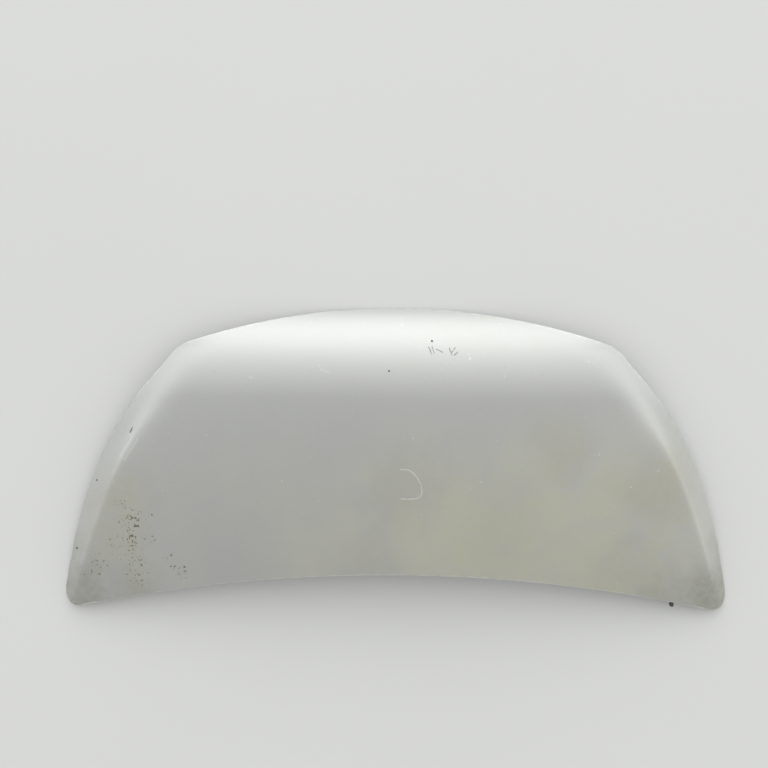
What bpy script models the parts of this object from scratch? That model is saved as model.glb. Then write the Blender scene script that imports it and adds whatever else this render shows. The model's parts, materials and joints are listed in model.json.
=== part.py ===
"""A car bonnet, lying outer face up on its two rear corners and the middle of its nose.

X runs across the car, +Y points to the nose and +Z away from the ground. In plan the
pieces are set out from the line through the rear corners, and one empty brings the
middle of the whole bonnet over the origin. Left and right are those of someone who
looks down on it with the nose at the top.
"""

import math

import bmesh
import bpy
import numpy as np
from mathutils import Matrix, Vector, geometry

# Plan of the outer panel, to the outside of its hem
WIDTH = 1.419
CENTRE_LENGTH = 0.5405
REAR_BOW = 0.104
NOSE_WIDTH = 0.909
NOSE_BOW = 0.082
REAR_CORNER_RADIUS = 0.031
NOSE_CORNER_RADIUS = 0.060
SIDE_REAR_ANGLE = math.radians(9.4)
SIDE_REAR_PULL = 0.449
SIDE_NOSE_ANGLE = math.radians(23)
SIDE_NOSE_PULL = 0.085

# Heights of the outer face
CROWN_HEIGHT = 0.092
CROWN_AHEAD = 0.272
LENGTHWISE_RADIUS = 2.05
NOSE_ROLL_LENGTH = 0.184

# Crease along each side, and the flank that falls away outside it
CREASE_REAR_INSET = 0.0187
CREASE_REAR_ANGLE = math.radians(18.8)
CREASE_REAR_PULL = 0.403
CREASE_NOSE_INSET = 0.051
CREASE_NOSE_ANGLE = math.radians(35.5)
CREASE_NOSE_PULL = 0.218
CREASE_SOFTNESS = 0.006
CREASE_FADE_START = 0.260
CREASE_FADE_END = 0.060
CREASE_FADED = 0.45
FLANK_SLOPE = math.radians(32)

# Sheets, hem and gaps
SKIN = 0.0008
INNER_SHEET = 0.0007
GAP = 0.0003
HEM_GAP = 0.0005
HEM_RETURN = 0.010
HEM_EASE = 0.0003

# Pressed inner panel
HEM_FLANGE = 0.015
RIM_WALL = 0.010
BEAM_DEPTH = 0.022
GROUND_CLEARANCE = 0.008
GROUND_BLEND = 0.004
REAR_BEAM = 0.045
FRONT_BEAM = 0.110
SIDE_BEAM = 0.038
RIB = 0.034
WALL = 0.009
FLANGE = 0.016
FLANGE_DEPTH = 0.0045
OPENING_RADIUS = 0.024
DIAGONAL_REAR_X = 0.385
DIAGONAL_NOSE_X = 0.160
BEAD_HALF_WIDTH = 0.006
BEAD_HEIGHT = 0.004
BEAD_WALL = 0.004
BEAD_SHARE_OF_RIB = 0.44
REAR_BEAD_ENDS = (0.100, 0.270)
FRONT_BEAD_ENDS = (0.140, 0.300)
FRONT_BEAD_INSET = 0.060

# Hinge seats
HINGE_INSET = 0.0894
HINGE_AHEAD = 0.125
HINGE_PLATE_WIDTH = 0.046
HINGE_PLATE_LENGTH = 0.096
HINGE_PLATE = 0.0015
HINGE_BOLT_SPACING = 0.056
PLATE_LIP = 0.006
PLATE_LIP_RUN = 0.003
SEAT_MARGIN = 0.007
SEAT_WALL = 0.008

# Striker in the middle of the front beam
STRIKER_SETBACK = 0.092
LATCH_WELL = 0.008
LATCH_PLATE_WIDTH = 0.104
LATCH_PLATE_LENGTH = 0.046
LATCH_PLATE = 0.0015
STRIKER_PLATE_WIDTH = 0.100
STRIKER_PLATE_LENGTH = 0.044
STRIKER_PLATE = 0.0025
STRIKER_BOLT_SPACING = 0.070
STRIKER_BAR = 0.008
STRIKER_BEND = 0.009
STRIKER_LOOP_LENGTH = 0.030
STRIKER_LOOP_DROP = 0.026
STRIKER_PLATE_CORNER = 0.010
STRIKER_BEND_STEPS = 3

# Fasteners
BOLT = 0.008
BOLT_CLEARANCE = 0.0007
BOLT_HEAD = 0.013
BOLT_HEAD_HEIGHT = 0.006
BOLT_WASHER = 0.017
BOLT_WASHER_HEIGHT = 0.0015
BOLT_PAST_NUT = 0.003
BOLT_CHAMFER = 0.001
NUT_WIDTH = 0.014
NUT_HEIGHT = 0.0065
NUT_CLEARANCE = 0.0003

# Rubber, plastic and mastic
BUFFER_INSET = 0.0695
BUFFER_SETBACK = 0.075
BUFFER_RADIUS = 0.009
BUFFER_HEIGHT = 0.012
BUFFER_STEM = 0.0035
BUFFER_BARB = 0.0055
BUFFER_BARB_LENGTH = 0.006
BUFFER_ROUNDING = 0.002
BUFFER_TIP = 0.0025
BUFFER_SEAT = 0.012
EDGE_STOP_INSET = 0.1325
EDGE_STOP_WIDTH = 0.0065
EDGE_STOP_HEIGHT = 0.007
EDGE_STOP_LENGTH = 0.022
EDGE_STOP_REACH = 0.010
EDGE_STOP_CHAMFER = 0.0015
SOCKET_Y = 0.300
SOCKET_BORE = 0.005
SOCKET_WALL = 0.0015
SOCKET_RIM = 0.009
SOCKET_RIM_HEIGHT = 0.002
SOCKET_LENGTH = 0.009
SOCKET_SEAT = 0.010
SEAL_SETBACK = 0.043
SEAL_HALF_SPAN = 0.360
SEAL_STATIONS = 18
SEAL_WIDTH = 0.014
SEAL_BASE_WIDTH = 0.010
SEAL_BASE = 0.0025
SEAL_LIP_RADIUS = 0.011
SEAL_LIP_TURN = math.radians(70)
SEAL_LIP_ROOT = 0.0022
SEAL_LIP_TIP = 0.0010
CLIP_COUNT = 5
CLIP_SPACING = 0.150
CLIP_SETBACK = 0.0015
CLIP_SHANK = 0.0022
CLIP_HEAD = 0.0035
CLIP_HEAD_HEIGHT = 0.0012
CLIP_BARB = 0.0034
CLIP_TIP = 0.0011
CLIP_ROUNDING = 0.0008
CLIP_BARB_LENGTH = 0.006
MASTIC_RADIUS = 0.006
MASTIC_BULGE = 0.0012
MASTIC_SIDES = ((0, 1, 3), (0, 4, 5))

# Fineness of the meshes
CORNER_STEPS = 4
FLAT_ROWS = 7
ROLL_ROWS = 10
ROLL_CROWDING = math.radians(52)
NOSE_CORNER_ROWS = 3
INNER_COLUMNS = 9
FLANK_COLUMNS = 2
FOLD_STEPS = 3
CURVE_POINTS = 80
ROUND_SIDES = 12
HOLE_SIDES = 10
SMALL_SIDES = 8
LIP_STEPS = 3
LOOP_SPACING = 0.050
FIELD_SPACING = 0.055
FIELD_CLEARANCE = 0.019
CREASE_COLUMN = 0.012
CREASE_FOLD = 0.005
NARROWEST_FLANK = 0.015
HEIGHT_STEP = 0.0005
SETTLING_ROUNDS = 4

HEM_RADIUS = (2 * SKIN + INNER_SHEET + 2 * HEM_GAP) / 2
INNER_OFFSET = SKIN + HEM_GAP
OPENING_INSET = HEM_FLANGE + RIM_WALL + WALL + FLANGE
NOSE_Y = REAR_BOW + CENTRE_LENGTH
CROWN_Y = REAR_BOW + CROWN_AHEAD
ROLL_Y = NOSE_Y - NOSE_ROLL_LENGTH
UP = Vector((0, 0, 1))


def rear_edge(x):
    """Plan line where the rear hem starts to fold."""
    return REAR_BOW * (1 - (2 * x / WIDTH) ** 2) + HEM_RADIUS


def nose_edge(x):
    """Plan line where the nose hem starts to fold."""
    return NOSE_Y - NOSE_BOW * (2 * x / NOSE_WIDTH) ** 2 - HEM_RADIUS


def heading(angle):
    """Plan direction that leans inwards from straight ahead by the angle."""
    return Vector((-math.sin(angle), math.cos(angle)))


def bezier(start, start_pull, end, end_pull):
    """Points of the plan curve that leaves start and reaches end along the two pulls."""
    share = np.linspace(0, 1, CURVE_POINTS)[:, None]
    rest = 1 - share
    near = np.array(start + start_pull)
    far = np.array(end - end_pull)
    ends = rest**3 * np.array(start) + share**3 * np.array(end)
    return ends + 3 * share * rest**2 * near + 3 * share**2 * rest * far


def side_curve():
    """Right side of the hem, from the sharp rear corner to the sharp nose corner."""
    rear_x = WIDTH / 2 - HEM_RADIUS
    nose_x = NOSE_WIDTH / 2 - HEM_RADIUS
    start = Vector((rear_x, rear_edge(rear_x)))
    end = Vector((nose_x, nose_edge(nose_x)))
    start_pull = heading(SIDE_REAR_ANGLE) * SIDE_REAR_PULL
    return bezier(start, start_pull, end, heading(SIDE_NOSE_ANGLE) * SIDE_NOSE_PULL)


def crease_curve():
    """Right crease, from outside the rear corner to the line of the nose."""
    start = Vector((WIDTH / 2 - CREASE_REAR_INSET, 0))
    end = Vector((NOSE_WIDTH / 2 - CREASE_NOSE_INSET, nose_edge(NOSE_WIDTH / 2)))
    start_pull = heading(CREASE_REAR_ANGLE) * CREASE_REAR_PULL
    return bezier(start, start_pull, end, heading(CREASE_NOSE_ANGLE) * CREASE_NOSE_PULL)


SIDE = side_curve()
CREASE = crease_curve()


def side_x(y):
    """Half width of the panel at y."""
    return float(np.interp(y, SIDE[:, 1], SIDE[:, 0]))


def crease_x(y):
    """Distance of the crease from the middle at y."""
    return float(np.interp(y, CREASE[:, 1], CREASE[:, 0]))


def centre_height(y):
    """Height of the outer face along the middle: a long shallow arc, then the nose roll."""
    if y <= ROLL_Y:
        ahead = y - CROWN_Y
        return CROWN_HEIGHT - LENGTHWISE_RADIUS + math.sqrt(LENGTHWISE_RADIUS**2 - ahead**2)
    slope = math.asin((ROLL_Y - CROWN_Y) / LENGTHWISE_RADIUS)
    top = centre_height(ROLL_Y)
    turn = 2 * (math.atan2(top - GAP, NOSE_ROLL_LENGTH) - slope)
    radius = math.hypot(top - GAP, NOSE_ROLL_LENGTH) / (2 * math.sin(turn / 2))
    leaning = min(math.sin(slope) + (y - ROLL_Y) / radius, 1)
    return top - radius * (math.cos(slope) - math.cos(math.asin(leaning)))


def flank_drop(x, y):
    """How far the face has fallen away outside its crease, which softens towards the nose."""
    start = NOSE_Y - CREASE_FADE_START
    share = (y - start) / (CREASE_FADE_START - CREASE_FADE_END)
    share = min(max(share, 0), 1)
    outside = abs(x) - crease_x(y)
    ramp = (outside + math.hypot(outside, CREASE_SOFTNESS)) / 2
    fading = (1 - CREASE_FADED) * share**2 * (3 - 2 * share)
    return math.tan(FLANK_SLOPE) * ramp * (1 - fading)


def corner_arc(start, corner, end, steps):
    """Points of the arc from start to end that is tangent to both legs of the corner."""
    weight = math.cos((corner - start).angle(end - corner) / 2)
    points = []
    for step in range(steps + 1):
        share = step / steps
        before = (1 - share) ** 2
        middle = 2 * weight * share * (1 - share)
        after = share**2
        point = start * before + corner * middle + end * after
        points.append(point / (before + middle + after))
    return points


def corner_leg(radius, first, second):
    """How far from a corner a rounding of this radius starts."""
    return radius * math.tan(first.angle(second) / 2)


def rear_corner():
    """Rounded right rear corner in plan, from the rear edge to the side."""
    corner = Vector(SIDE[0])
    step = Vector((-HEIGHT_STEP, rear_edge(corner.x - HEIGHT_STEP) - corner.y))
    leg = corner_leg(REAR_CORNER_RADIUS, -step, heading(SIDE_REAR_ANGLE))
    start_x = corner.x + step.normalized().x * leg
    end_y = corner.y + leg * math.cos(SIDE_REAR_ANGLE)
    start = Vector((start_x, rear_edge(start_x)))
    return corner_arc(start, corner, Vector((side_x(end_y), end_y)), CORNER_STEPS)


def nose_corner():
    """Rounded right nose corner in plan, from the side to the nose edge."""
    corner = Vector(SIDE[-1])
    step = Vector((-HEIGHT_STEP, nose_edge(corner.x - HEIGHT_STEP) - corner.y))
    leg = corner_leg(NOSE_CORNER_RADIUS, heading(SIDE_NOSE_ANGLE), step)
    start_y = corner.y - leg * math.cos(SIDE_NOSE_ANGLE)
    end_x = corner.x + step.normalized().x * leg
    start = Vector((side_x(start_y), start_y))
    return corner_arc(start, corner, Vector((end_x, nose_edge(end_x))), NOSE_CORNER_ROWS)


def crown_factor():
    """Sideways fall per square metre that brings the rear corners down to the ground."""
    corner = rear_corner()[CORNER_STEPS // 2]
    fall = centre_height(corner.y) - flank_drop(corner.x, corner.y) - 2 * HEM_RADIUS
    return fall / corner.x**2


SIDEWAYS_FALL = crown_factor()


def free_height(x, y):
    """Height of the outer face before it is settled on the ground."""
    return centre_height(y) - SIDEWAYS_FALL * x * x - flank_drop(x, y)


def row_ends():
    """Each cross row of the outer panel, as its right end and its height up the middle."""
    rear = rear_corner()
    nose = nose_corner()
    spread = (rear[-1].y - rear[0].y) / CORNER_STEPS
    middles = [rear_edge(0) + spread * step for step in range(CORNER_STEPS + 1)]
    middles += list(np.linspace(middles[-1], ROLL_Y, FLAT_ROWS + 1)[1:])
    for step in range(1, ROLL_ROWS + 1):
        share = step / ROLL_ROWS
        crowded = math.sin(share * ROLL_CROWDING) / math.sin(ROLL_CROWDING)
        middles.append(ROLL_Y + (nose_edge(0) - ROLL_Y) * crowded)
    ends = list(rear)
    last_side = len(middles) - 1 - NOSE_CORNER_ROWS
    for row in range(CORNER_STEPS + 1, last_side):
        share = (middles[row] - middles[CORNER_STEPS]) / (middles[last_side] - middles[CORNER_STEPS])
        y = rear[-1].y + (nose[0].y - rear[-1].y) * share
        ends.append(Vector((side_x(y), y)))
    return list(zip(ends + nose, middles))


def plan_grid():
    """Rows of plan points over the whole outer panel, left to right and rear to nose."""
    rows = []
    for end, middle in row_ends():
        bow = middle - end.y
        guess = crease_x(end.y)
        crease = crease_x(end.y + bow * (1 - min(guess / end.x, 1) ** 2))
        crease = min(crease, end.x - NARROWEST_FLANK)
        half = [(crease - CREASE_COLUMN) * step / INNER_COLUMNS for step in range(INNER_COLUMNS + 1)]
        half += [crease + beside for beside in (-CREASE_FOLD, 0, CREASE_FOLD)]
        flank = end.x - half[-1]
        half += [half[-1] + flank * (step + 1) / FLANK_COLUMNS for step in range(FLANK_COLUMNS)]
        across = [-x for x in reversed(half[1:])] + half
        rows.append([Vector((x, end.y + bow * (1 - (x / end.x) ** 2))) for x in across])
    return rows


def rim_of(rows):
    """The grid's outline, counter-clockwise from the left rear."""
    right = [row[-1] for row in rows[1:-1]]
    left = [row[0] for row in rows[1:-1]]
    return list(rows[0]) + right + list(reversed(rows[-1])) + list(reversed(left))


GRID = plan_grid()
RIM = rim_of(GRID)


def slope_normal(height, x, y):
    """Upward normal of the surface that height describes."""
    across = height(x + HEIGHT_STEP, y) - height(x - HEIGHT_STEP, y)
    along = height(x, y + HEIGHT_STEP) - height(x, y - HEIGHT_STEP)
    return Vector((-across, -along, 2 * HEIGHT_STEP)).normalized()


SETTLING = {"fall": 0.0, "tilt": 0.0}


def height(x, y):
    """Height of the outer face once the bonnet lies on its corners and its nose."""
    return free_height(x, y) - SETTLING["fall"] - SETTLING["tilt"] * y


def skin_point(x, y, below=0.0):
    """Point under (x, y) of the outer face, moved square to the face by below."""
    return Vector((x, y, height(x, y))) - slope_normal(height, x, y) * below


def beam_height(x, y):
    """Top face of the inner panel where it stands off the skin, kept above the ground."""
    free = height(x, y) - BEAM_DEPTH - GROUND_CLEARANCE
    return GROUND_CLEARANCE + (free + math.hypot(free, GROUND_BLEND)) / 2


def flange_height(x, y):
    """Top face of the inner panel's flanges round its openings."""
    return height(x, y) - FLANGE_DEPTH


def material(name, colour, roughness, metallic):
    """Principled material of one colour."""
    made = bpy.data.materials.new(name)
    made.use_nodes = True
    shader = made.node_tree.nodes["Principled BSDF"]
    shader.inputs["Base Color"].default_value = (*colour, 1)
    shader.inputs["Roughness"].default_value = roughness
    shader.inputs["Metallic"].default_value = metallic
    made.diffuse_color = (*colour, 1)
    return made


def add_object(name, bm, finish, smooth_angle=35):
    """Scene object from the bmesh, shaded smooth up to the angle, under the bonnet's empty."""
    mesh = bpy.data.meshes.new(name)
    bm.to_mesh(mesh)
    bm.free()
    mesh.materials.append(finish)
    mesh.shade_smooth()
    mesh.set_sharp_from_angle(angle=math.radians(smooth_angle))
    made = bpy.data.objects.new(name, mesh)
    bpy.context.scene.collection.objects.link(made)
    made.parent = bpy.data.objects["bonnet_middle"]
    return made


def add_thickness(made, thickness):
    """Give a sheet its thickness, on the side away from its normals."""
    shell = made.modifiers.new("sheet thickness", "SOLIDIFY")
    shell.thickness = thickness
    shell.offset = -1
    shell.use_even_offset = True
    shell.use_rim = True


def bridge(bm, first, second, closed=True):
    """Quads between two runs of vertices of equal length."""
    count = len(first) if closed else len(first) - 1
    for index in range(count):
        after = (index + 1) % len(first)
        bm.faces.new((first[index], first[after], second[after], second[index]))


def loft(name, loops, finish, ring=False, smooth_angle=35):
    """Solid through closed loops of points, capped at both ends or closed on itself."""
    bm = bmesh.new()
    rings = [[bm.verts.new(point) for point in loop] for loop in loops]
    for first, second in zip(rings, rings[1:]):
        bridge(bm, first, second)
    if ring:
        bridge(bm, rings[-1], rings[0])
    else:
        bm.faces.new(rings[0])
        bm.faces.new(rings[-1])
    bmesh.ops.recalc_face_normals(bm, faces=bm.faces)
    return add_object(name, bm, finish, smooth_angle)


def circle(radius, z=0.0, sides=ROUND_SIDES, centre=(0.0, 0.0)):
    """Level closed loop round the centre."""
    points = []
    for side in range(sides):
        angle = 2 * math.pi * (side + 0.5) / sides
        x = centre[0] + radius * math.cos(angle)
        points.append(Vector((x, centre[1] + radius * math.sin(angle), z)))
    return points


def polygon_loop(across_flats, corners, z=0.0):
    """Level loop of a nut or a bolt head, with one point more on each flat."""
    points = []
    for side in range(ROUND_SIDES):
        angle = 2 * math.pi * (side + 0.5) / ROUND_SIDES
        sector = math.pi / corners
        off = (angle % (2 * sector)) - sector
        radius = across_flats / 2 / math.cos(off)
        points.append(Vector((radius * math.cos(angle), radius * math.sin(angle), z)))
    return points


def hole(x, y, radius, z=None, sides=HOLE_SIDES):
    """Plan loop that clears a round of the radius; z is its height, or the beam's if None."""
    clear = radius / math.cos(math.pi / sides)
    loop = circle(clear, 0.0, sides, (x, y))
    return [on_beam(point) if z is None else Vector((point.x, point.y, z)) for point in loop]


def on_beam(point):
    """The plan point at the height of the inner panel's beams."""
    return Vector((point[0], point[1], beam_height(point[0], point[1])))


def on_flange(point):
    """The plan point at the height of the inner panel's flanges."""
    return Vector((point[0], point[1], flange_height(point[0], point[1])))


def rounded(corners, radius, grow=0.0, steps=3):
    """Plan loop round convex counter-clockwise corners, rounded and moved outwards."""
    loop = []
    for index, corner in enumerate(corners):
        before = (corner - corners[index - 1]).normalized()
        after = (corners[(index + 1) % len(corners)] - corner).normalized()
        turn = before.angle(after)
        centre = corner + (after - before).normalized() * (radius / math.cos(turn / 2))
        start = math.atan2(-before.x, before.y)
        for step in range(steps + 1):
            angle = start + turn * step / steps
            reach = radius + grow
            loop.append(centre + Vector((math.cos(angle), math.sin(angle))) * reach)
    return loop


def divided(loop, spacing=LOOP_SPACING):
    """The closed loop with its long sides cut into shorter ones."""
    points = []
    for index, point in enumerate(loop):
        after = loop[(index + 1) % len(loop)]
        count = max(1, math.ceil((after - point).length / spacing))
        points += [point + (after - point) * (step / count) for step in range(count)]
    return points


def rectangle(x, y, width, length):
    """Counter-clockwise corners of a rectangle round (x, y)."""
    half_x, half_y = width / 2, length / 2
    signs = ((-1, -1), (1, -1), (1, 1), (-1, 1))
    return [Vector((x + a * half_x, y + b * half_y)) for a, b in signs]


def distance_to(points, segments_start, segments_end):
    """Smallest distance from each point to any of the segments."""
    along = segments_end - segments_start
    offset = points[:, None, :] - segments_start[None, :, :]
    share = (offset * along).sum(axis=2) / (along * along).sum(axis=1)
    share = np.clip(share, 0, 1)
    gap = offset - share[:, :, None] * along[None, :, :]
    return np.sqrt((gap**2).sum(axis=2)).min(axis=1)


def loop_distance(points, loop):
    """Smallest distance from each plan point to a closed loop."""
    line = np.array([(point[0], point[1]) for point in loop])
    return distance_to(np.array(points), line, np.roll(line, -1, axis=0))


def inset(loop, distance):
    """The counter-clockwise loop moved inwards, less the points a tight corner folds over."""
    points = np.array([(point[0], point[1]) for point in loop])
    along = np.roll(points, -1, axis=0) - points
    along /= np.linalg.norm(along, axis=1)[:, None]
    square = np.column_stack((-along[:, 1], along[:, 0]))
    both = square + np.roll(square, 1, axis=0)
    moved = points + both * (2 * distance / (both**2).sum(axis=1))[:, None]
    kept = moved[loop_distance(moved, loop) > 0.99 * distance]
    return [Vector(point) for point in kept]


def inside(point, loop):
    """Whether the plan point lies inside the closed loop."""
    found = False
    for index, first in enumerate(loop):
        second = loop[index - 1]
        if (first[1] > point[1]) == (second[1] > point[1]):
            continue
        share = (point[1] - first[1]) / (second[1] - first[1])
        if point[0] < first[0] + share * (second[0] - first[0]):
            found = not found
    return found


def pressed(name, outline, thickness, finish, folds=(), holes=(), runs=(), spots=()):
    """Pressed sheet from loops of points that carry their own heights.

    The outline and the holes bound it, folds are closed loops within it, runs are open
    lines within it and spots are single points. The points are those of its top face.
    """
    points = []
    edges = []
    for loop, closed in [(outline, True)] + [(loop, True) for loop in (*folds, *holes)]:
        first = len(points)
        points += loop
        edges += [(first + i, first + (i + 1) % len(loop)) for i in range(len(loop))]
    for run in runs:
        first = len(points)
        points += run
        edges += [(first + i, first + i + 1) for i in range(len(run) - 1)]
    points += spots
    plan = [Vector((point.x, point.y)) for point in points]
    made = geometry.delaunay_2d_cdt(plan, edges, [], 1, 1e-7)
    bm = bmesh.new()
    verts = []
    for place, sources in zip(made[0], made[3]):
        nearest = sources[0] if sources else min(
            range(len(plan)), key=lambda i: (plan[i] - place).length
        )
        verts.append(bm.verts.new((place.x, place.y, points[nearest].z)))
    for face in made[2]:
        middle = sum((made[0][i] for i in face), Vector((0, 0))) / len(face)
        if any(inside(middle, loop) for loop in holes):
            continue
        corners = [verts[i] for i in face]
        new = bm.faces.new(corners)
        new.normal_update()
        if new.normal.z < 0:
            new.normal_flip()
    loose = [vert for vert in bm.verts if not vert.link_faces]
    bmesh.ops.delete(bm, geom=loose, context="VERTS")
    sheet = add_object(name, bm, finish)
    add_thickness(sheet, thickness)
    return sheet


def add_ridged(bm, *corners):
    """Two triangles for four corners, parted along the diagonal that stands higher."""
    first, second, third, fourth = corners
    if first.co.z + third.co.z > second.co.z + fourth.co.z:
        bm.faces.new((first, second, third))
        bm.faces.new((first, third, fourth))
    else:
        bm.faces.new((first, second, fourth))
        bm.faces.new((second, third, fourth))


def make_outer_panel(finish):
    """Skin over the whole plan, its edge folded right round the inner panel's edge."""
    bm = bmesh.new()
    rows = [[bm.verts.new(skin_point(point.x, point.y)) for point in row] for row in GRID]
    for first, second in zip(rows, rows[1:]):
        for low, high in zip(zip(first, first[1:]), zip(second, second[1:])):
            add_ridged(bm, *low, *reversed(high))
    last = rim_of(rows)
    for ring in hem_rings():
        made = [bm.verts.new(point) for point in ring]
        bridge(bm, made, last)
        last = made
    bmesh.ops.recalc_face_normals(bm, faces=bm.faces)
    if max(bm.faces, key=lambda face: face.calc_center_median().z).normal.z < 0:
        bmesh.ops.reverse_faces(bm, faces=bm.faces)
    add_thickness(add_object("outer_panel", bm, finish), SKIN)


def hem_rings():
    """Loops of points round the hem's fold and along the edge of its return."""
    tops = [skin_point(point.x, point.y) for point in RIM]
    rings = [[] for _ in range(FOLD_STEPS + 1)]
    for index, (plan, top) in enumerate(zip(RIM, tops)):
        normal = slope_normal(height, plan.x, plan.y)
        along = tops[(index + 1) % len(tops)] - tops[index - 1]
        outward = along.cross(normal).normalized()
        centre = top - normal * HEM_RADIUS
        for step in range(1, FOLD_STEPS + 1):
            angle = math.pi * step / FOLD_STEPS
            spoke = normal * math.cos(angle) + outward * math.sin(angle)
            rings[step - 1].append(centre + spoke * HEM_RADIUS)
        end = top - outward * HEM_RETURN
        rings[-1].append(skin_point(end.x, end.y, 2 * HEM_RADIUS + HEM_EASE))
    return rings


def settle_on_ground():
    """Lower and tilt the face until the hem touches the ground at the rear and at the nose."""
    middle = (rear_edge(0) + nose_edge(0)) / 2
    for _ in range(SETTLING_ROUNDS):
        points = [point for ring in hem_rings() for point in ring]
        rear = min((point for point in points if point.y < middle), key=lambda point: point.z)
        nose = min((point for point in points if point.y > middle), key=lambda point: point.z)
        tilt = (nose.z - rear.z) / (nose.y - rear.y)
        SETTLING["fall"] += rear.z - tilt * rear.y
        SETTLING["tilt"] += tilt


def crossing(start, direction, line):
    """Where the plan line from start along direction meets y = line(x)."""
    near, far = -1.0, 1.0
    for _ in range(40):
        middle = (near + far) / 2
        point = start + direction * middle
        if point.y > line(point.x):
            far = middle
        else:
            near = middle
    return start + direction * middle


def rear_limit(x):
    """Rear side of the inner panel's openings."""
    return rear_edge(x) + OPENING_INSET + REAR_BEAM


def nose_limit(x):
    """Nose side of the inner panel's openings."""
    return nose_edge(x) - OPENING_INSET - FRONT_BEAM


def side_limit(y):
    """Outer side of the inner panel's openings."""
    return side_x(y) - OPENING_INSET - SIDE_BEAM


def diagonal():
    """Middle line of the right diagonal rib, from the rear beam to the front beam."""
    rear = Vector((DIAGONAL_REAR_X, rear_limit(DIAGONAL_REAR_X) - OPENING_INSET))
    nose = Vector((DIAGONAL_NOSE_X, nose_limit(DIAGONAL_NOSE_X) + OPENING_INSET))
    return rear, nose


def hinge_place():
    """Middle of the right hinge seat in plan."""
    return Vector((side_x(HINGE_AHEAD) - HINGE_INSET, HINGE_AHEAD))


def mirrored(corners):
    """The corners on the other side of the bonnet, counter-clockwise again."""
    return [Vector((-corner.x, corner.y)) for corner in reversed(corners)]


def opening_corners():
    """Corners of the inner panel's four openings, right ones first."""
    rear, nose = diagonal()
    along = (nose - rear).normalized()
    square = Vector((along.y, -along.x)) * (RIB / 2 + WALL + FLANGE)
    near_x = RIB / 2 + WALL + FLANGE
    middle = (rear + nose) / 2
    inner = [
        Vector((near_x, rear_limit(near_x))),
        crossing(middle - square, along, rear_limit),
        crossing(middle - square, along, nose_limit),
        Vector((near_x, nose_limit(near_x))),
    ]
    hinge = hinge_place()
    seat_x = hinge.x - HINGE_PLATE_WIDTH / 2 - SEAT_MARGIN - SEAT_WALL - WALL - FLANGE
    seat_y = hinge.y + HINGE_PLATE_LENGTH / 2 + SEAT_MARGIN + SEAT_WALL + WALL + FLANGE
    nose_x = side_limit(nose_limit(side_limit(ROLL_Y)))
    turn_y = (seat_y + nose_limit(nose_x)) / 2
    outer = [
        crossing(middle + square, along, rear_limit),
        Vector((seat_x, rear_limit(seat_x))),
        Vector((min(seat_x, side_limit(seat_y)), seat_y)),
        Vector((side_limit(turn_y), turn_y)),
        Vector((nose_x, nose_limit(nose_x))),
        crossing(middle + square, along, nose_limit),
    ]
    return [inner, outer, mirrored(inner), mirrored(outer)]


def stadium(start, end, half_width, steps=3):
    """Plan loop of a straight bead with round ends, counter-clockwise."""
    angle = math.atan2(end.y - start.y, end.x - start.x)
    loop = []
    for centre, first in ((start, angle + math.pi / 2), (end, angle - math.pi / 2)):
        for step in range(steps + 1):
            turn = first + math.pi * step / steps
            loop.append(centre + Vector((math.cos(turn), math.sin(turn))) * half_width)
    return loop


def bead_lines():
    """Start and end in plan of each stiffening bead in the beams and ribs."""
    rear, nose = diagonal()
    rib_half = (nose - rear) * (BEAD_SHARE_OF_RIB / 2)
    rib_middle = (rear + nose) / 2
    rear_inset = HEM_FLANGE + RIM_WALL + REAR_BEAM / 2
    front_inset = HEM_FLANGE + RIM_WALL + FRONT_BEAD_INSET
    right = [
        [rib_middle - rib_half, rib_middle + rib_half],
        [Vector((x, rear_edge(x) + rear_inset)) for x in REAR_BEAD_ENDS],
        [Vector((x, nose_edge(x) - front_inset)) for x in FRONT_BEAD_ENDS],
    ]
    left = [[Vector((-end.x, end.y)) for end in ends] for ends in right]
    return right + left + [[Vector((0, rear_limit(0))), Vector((0, nose_limit(0)))]]


def seat_loops(corners, radius, z):
    """Fold loops of a level seat: its edge at z, and the foot of the wall round it."""
    seat = [Vector((point.x, point.y, z)) for point in divided(rounded(corners, radius))]
    foot = [on_beam(point) for point in divided(rounded(corners, radius, SEAT_WALL))]
    return [seat, foot]


def round_seat(place, radius, z):
    """Fold loops of a small round level seat."""
    foot = circle(radius + SEAT_WALL / 2, 0.0, HOLE_SIDES, place)
    return [circle(radius, z, HOLE_SIDES, place), [on_beam(point) for point in foot]]


def hinge_seat_height():
    """Level of the inner panel's top face in the hinge seats."""
    place = hinge_place()
    return beam_height(place.x, place.y)


def striker_place():
    """Middle of the striker in plan."""
    return Vector((0, NOSE_Y - STRIKER_SETBACK))


def latch_seat_height():
    """Level of the inner panel's top face in the striker's seat."""
    place = striker_place()
    return beam_height(place.x, place.y) - LATCH_WELL


def buffer_place(side):
    """Middle of a corner buffer in plan."""
    x = NOSE_WIDTH / 2 - BUFFER_INSET
    return Vector((side * x, nose_edge(x) - BUFFER_SETBACK))


def socket_place():
    """Middle of the prop rod's socket, in the left side beam."""
    return Vector((-(side_x(SOCKET_Y) - HEM_FLANGE - RIM_WALL - SIDE_BEAM / 2), SOCKET_Y))


def hinge_bolts(side):
    """Plan places of one hinge's two bolts."""
    place = hinge_place()
    half = HINGE_BOLT_SPACING / 2
    return [Vector((side * place.x, place.y - half)), Vector((side * place.x, place.y + half))]


def striker_bolts():
    """Plan places of the striker's two bolts, left and right."""
    place = striker_place()
    return [place + Vector((side * STRIKER_BOLT_SPACING / 2, 0)) for side in (-1, 1)]


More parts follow.
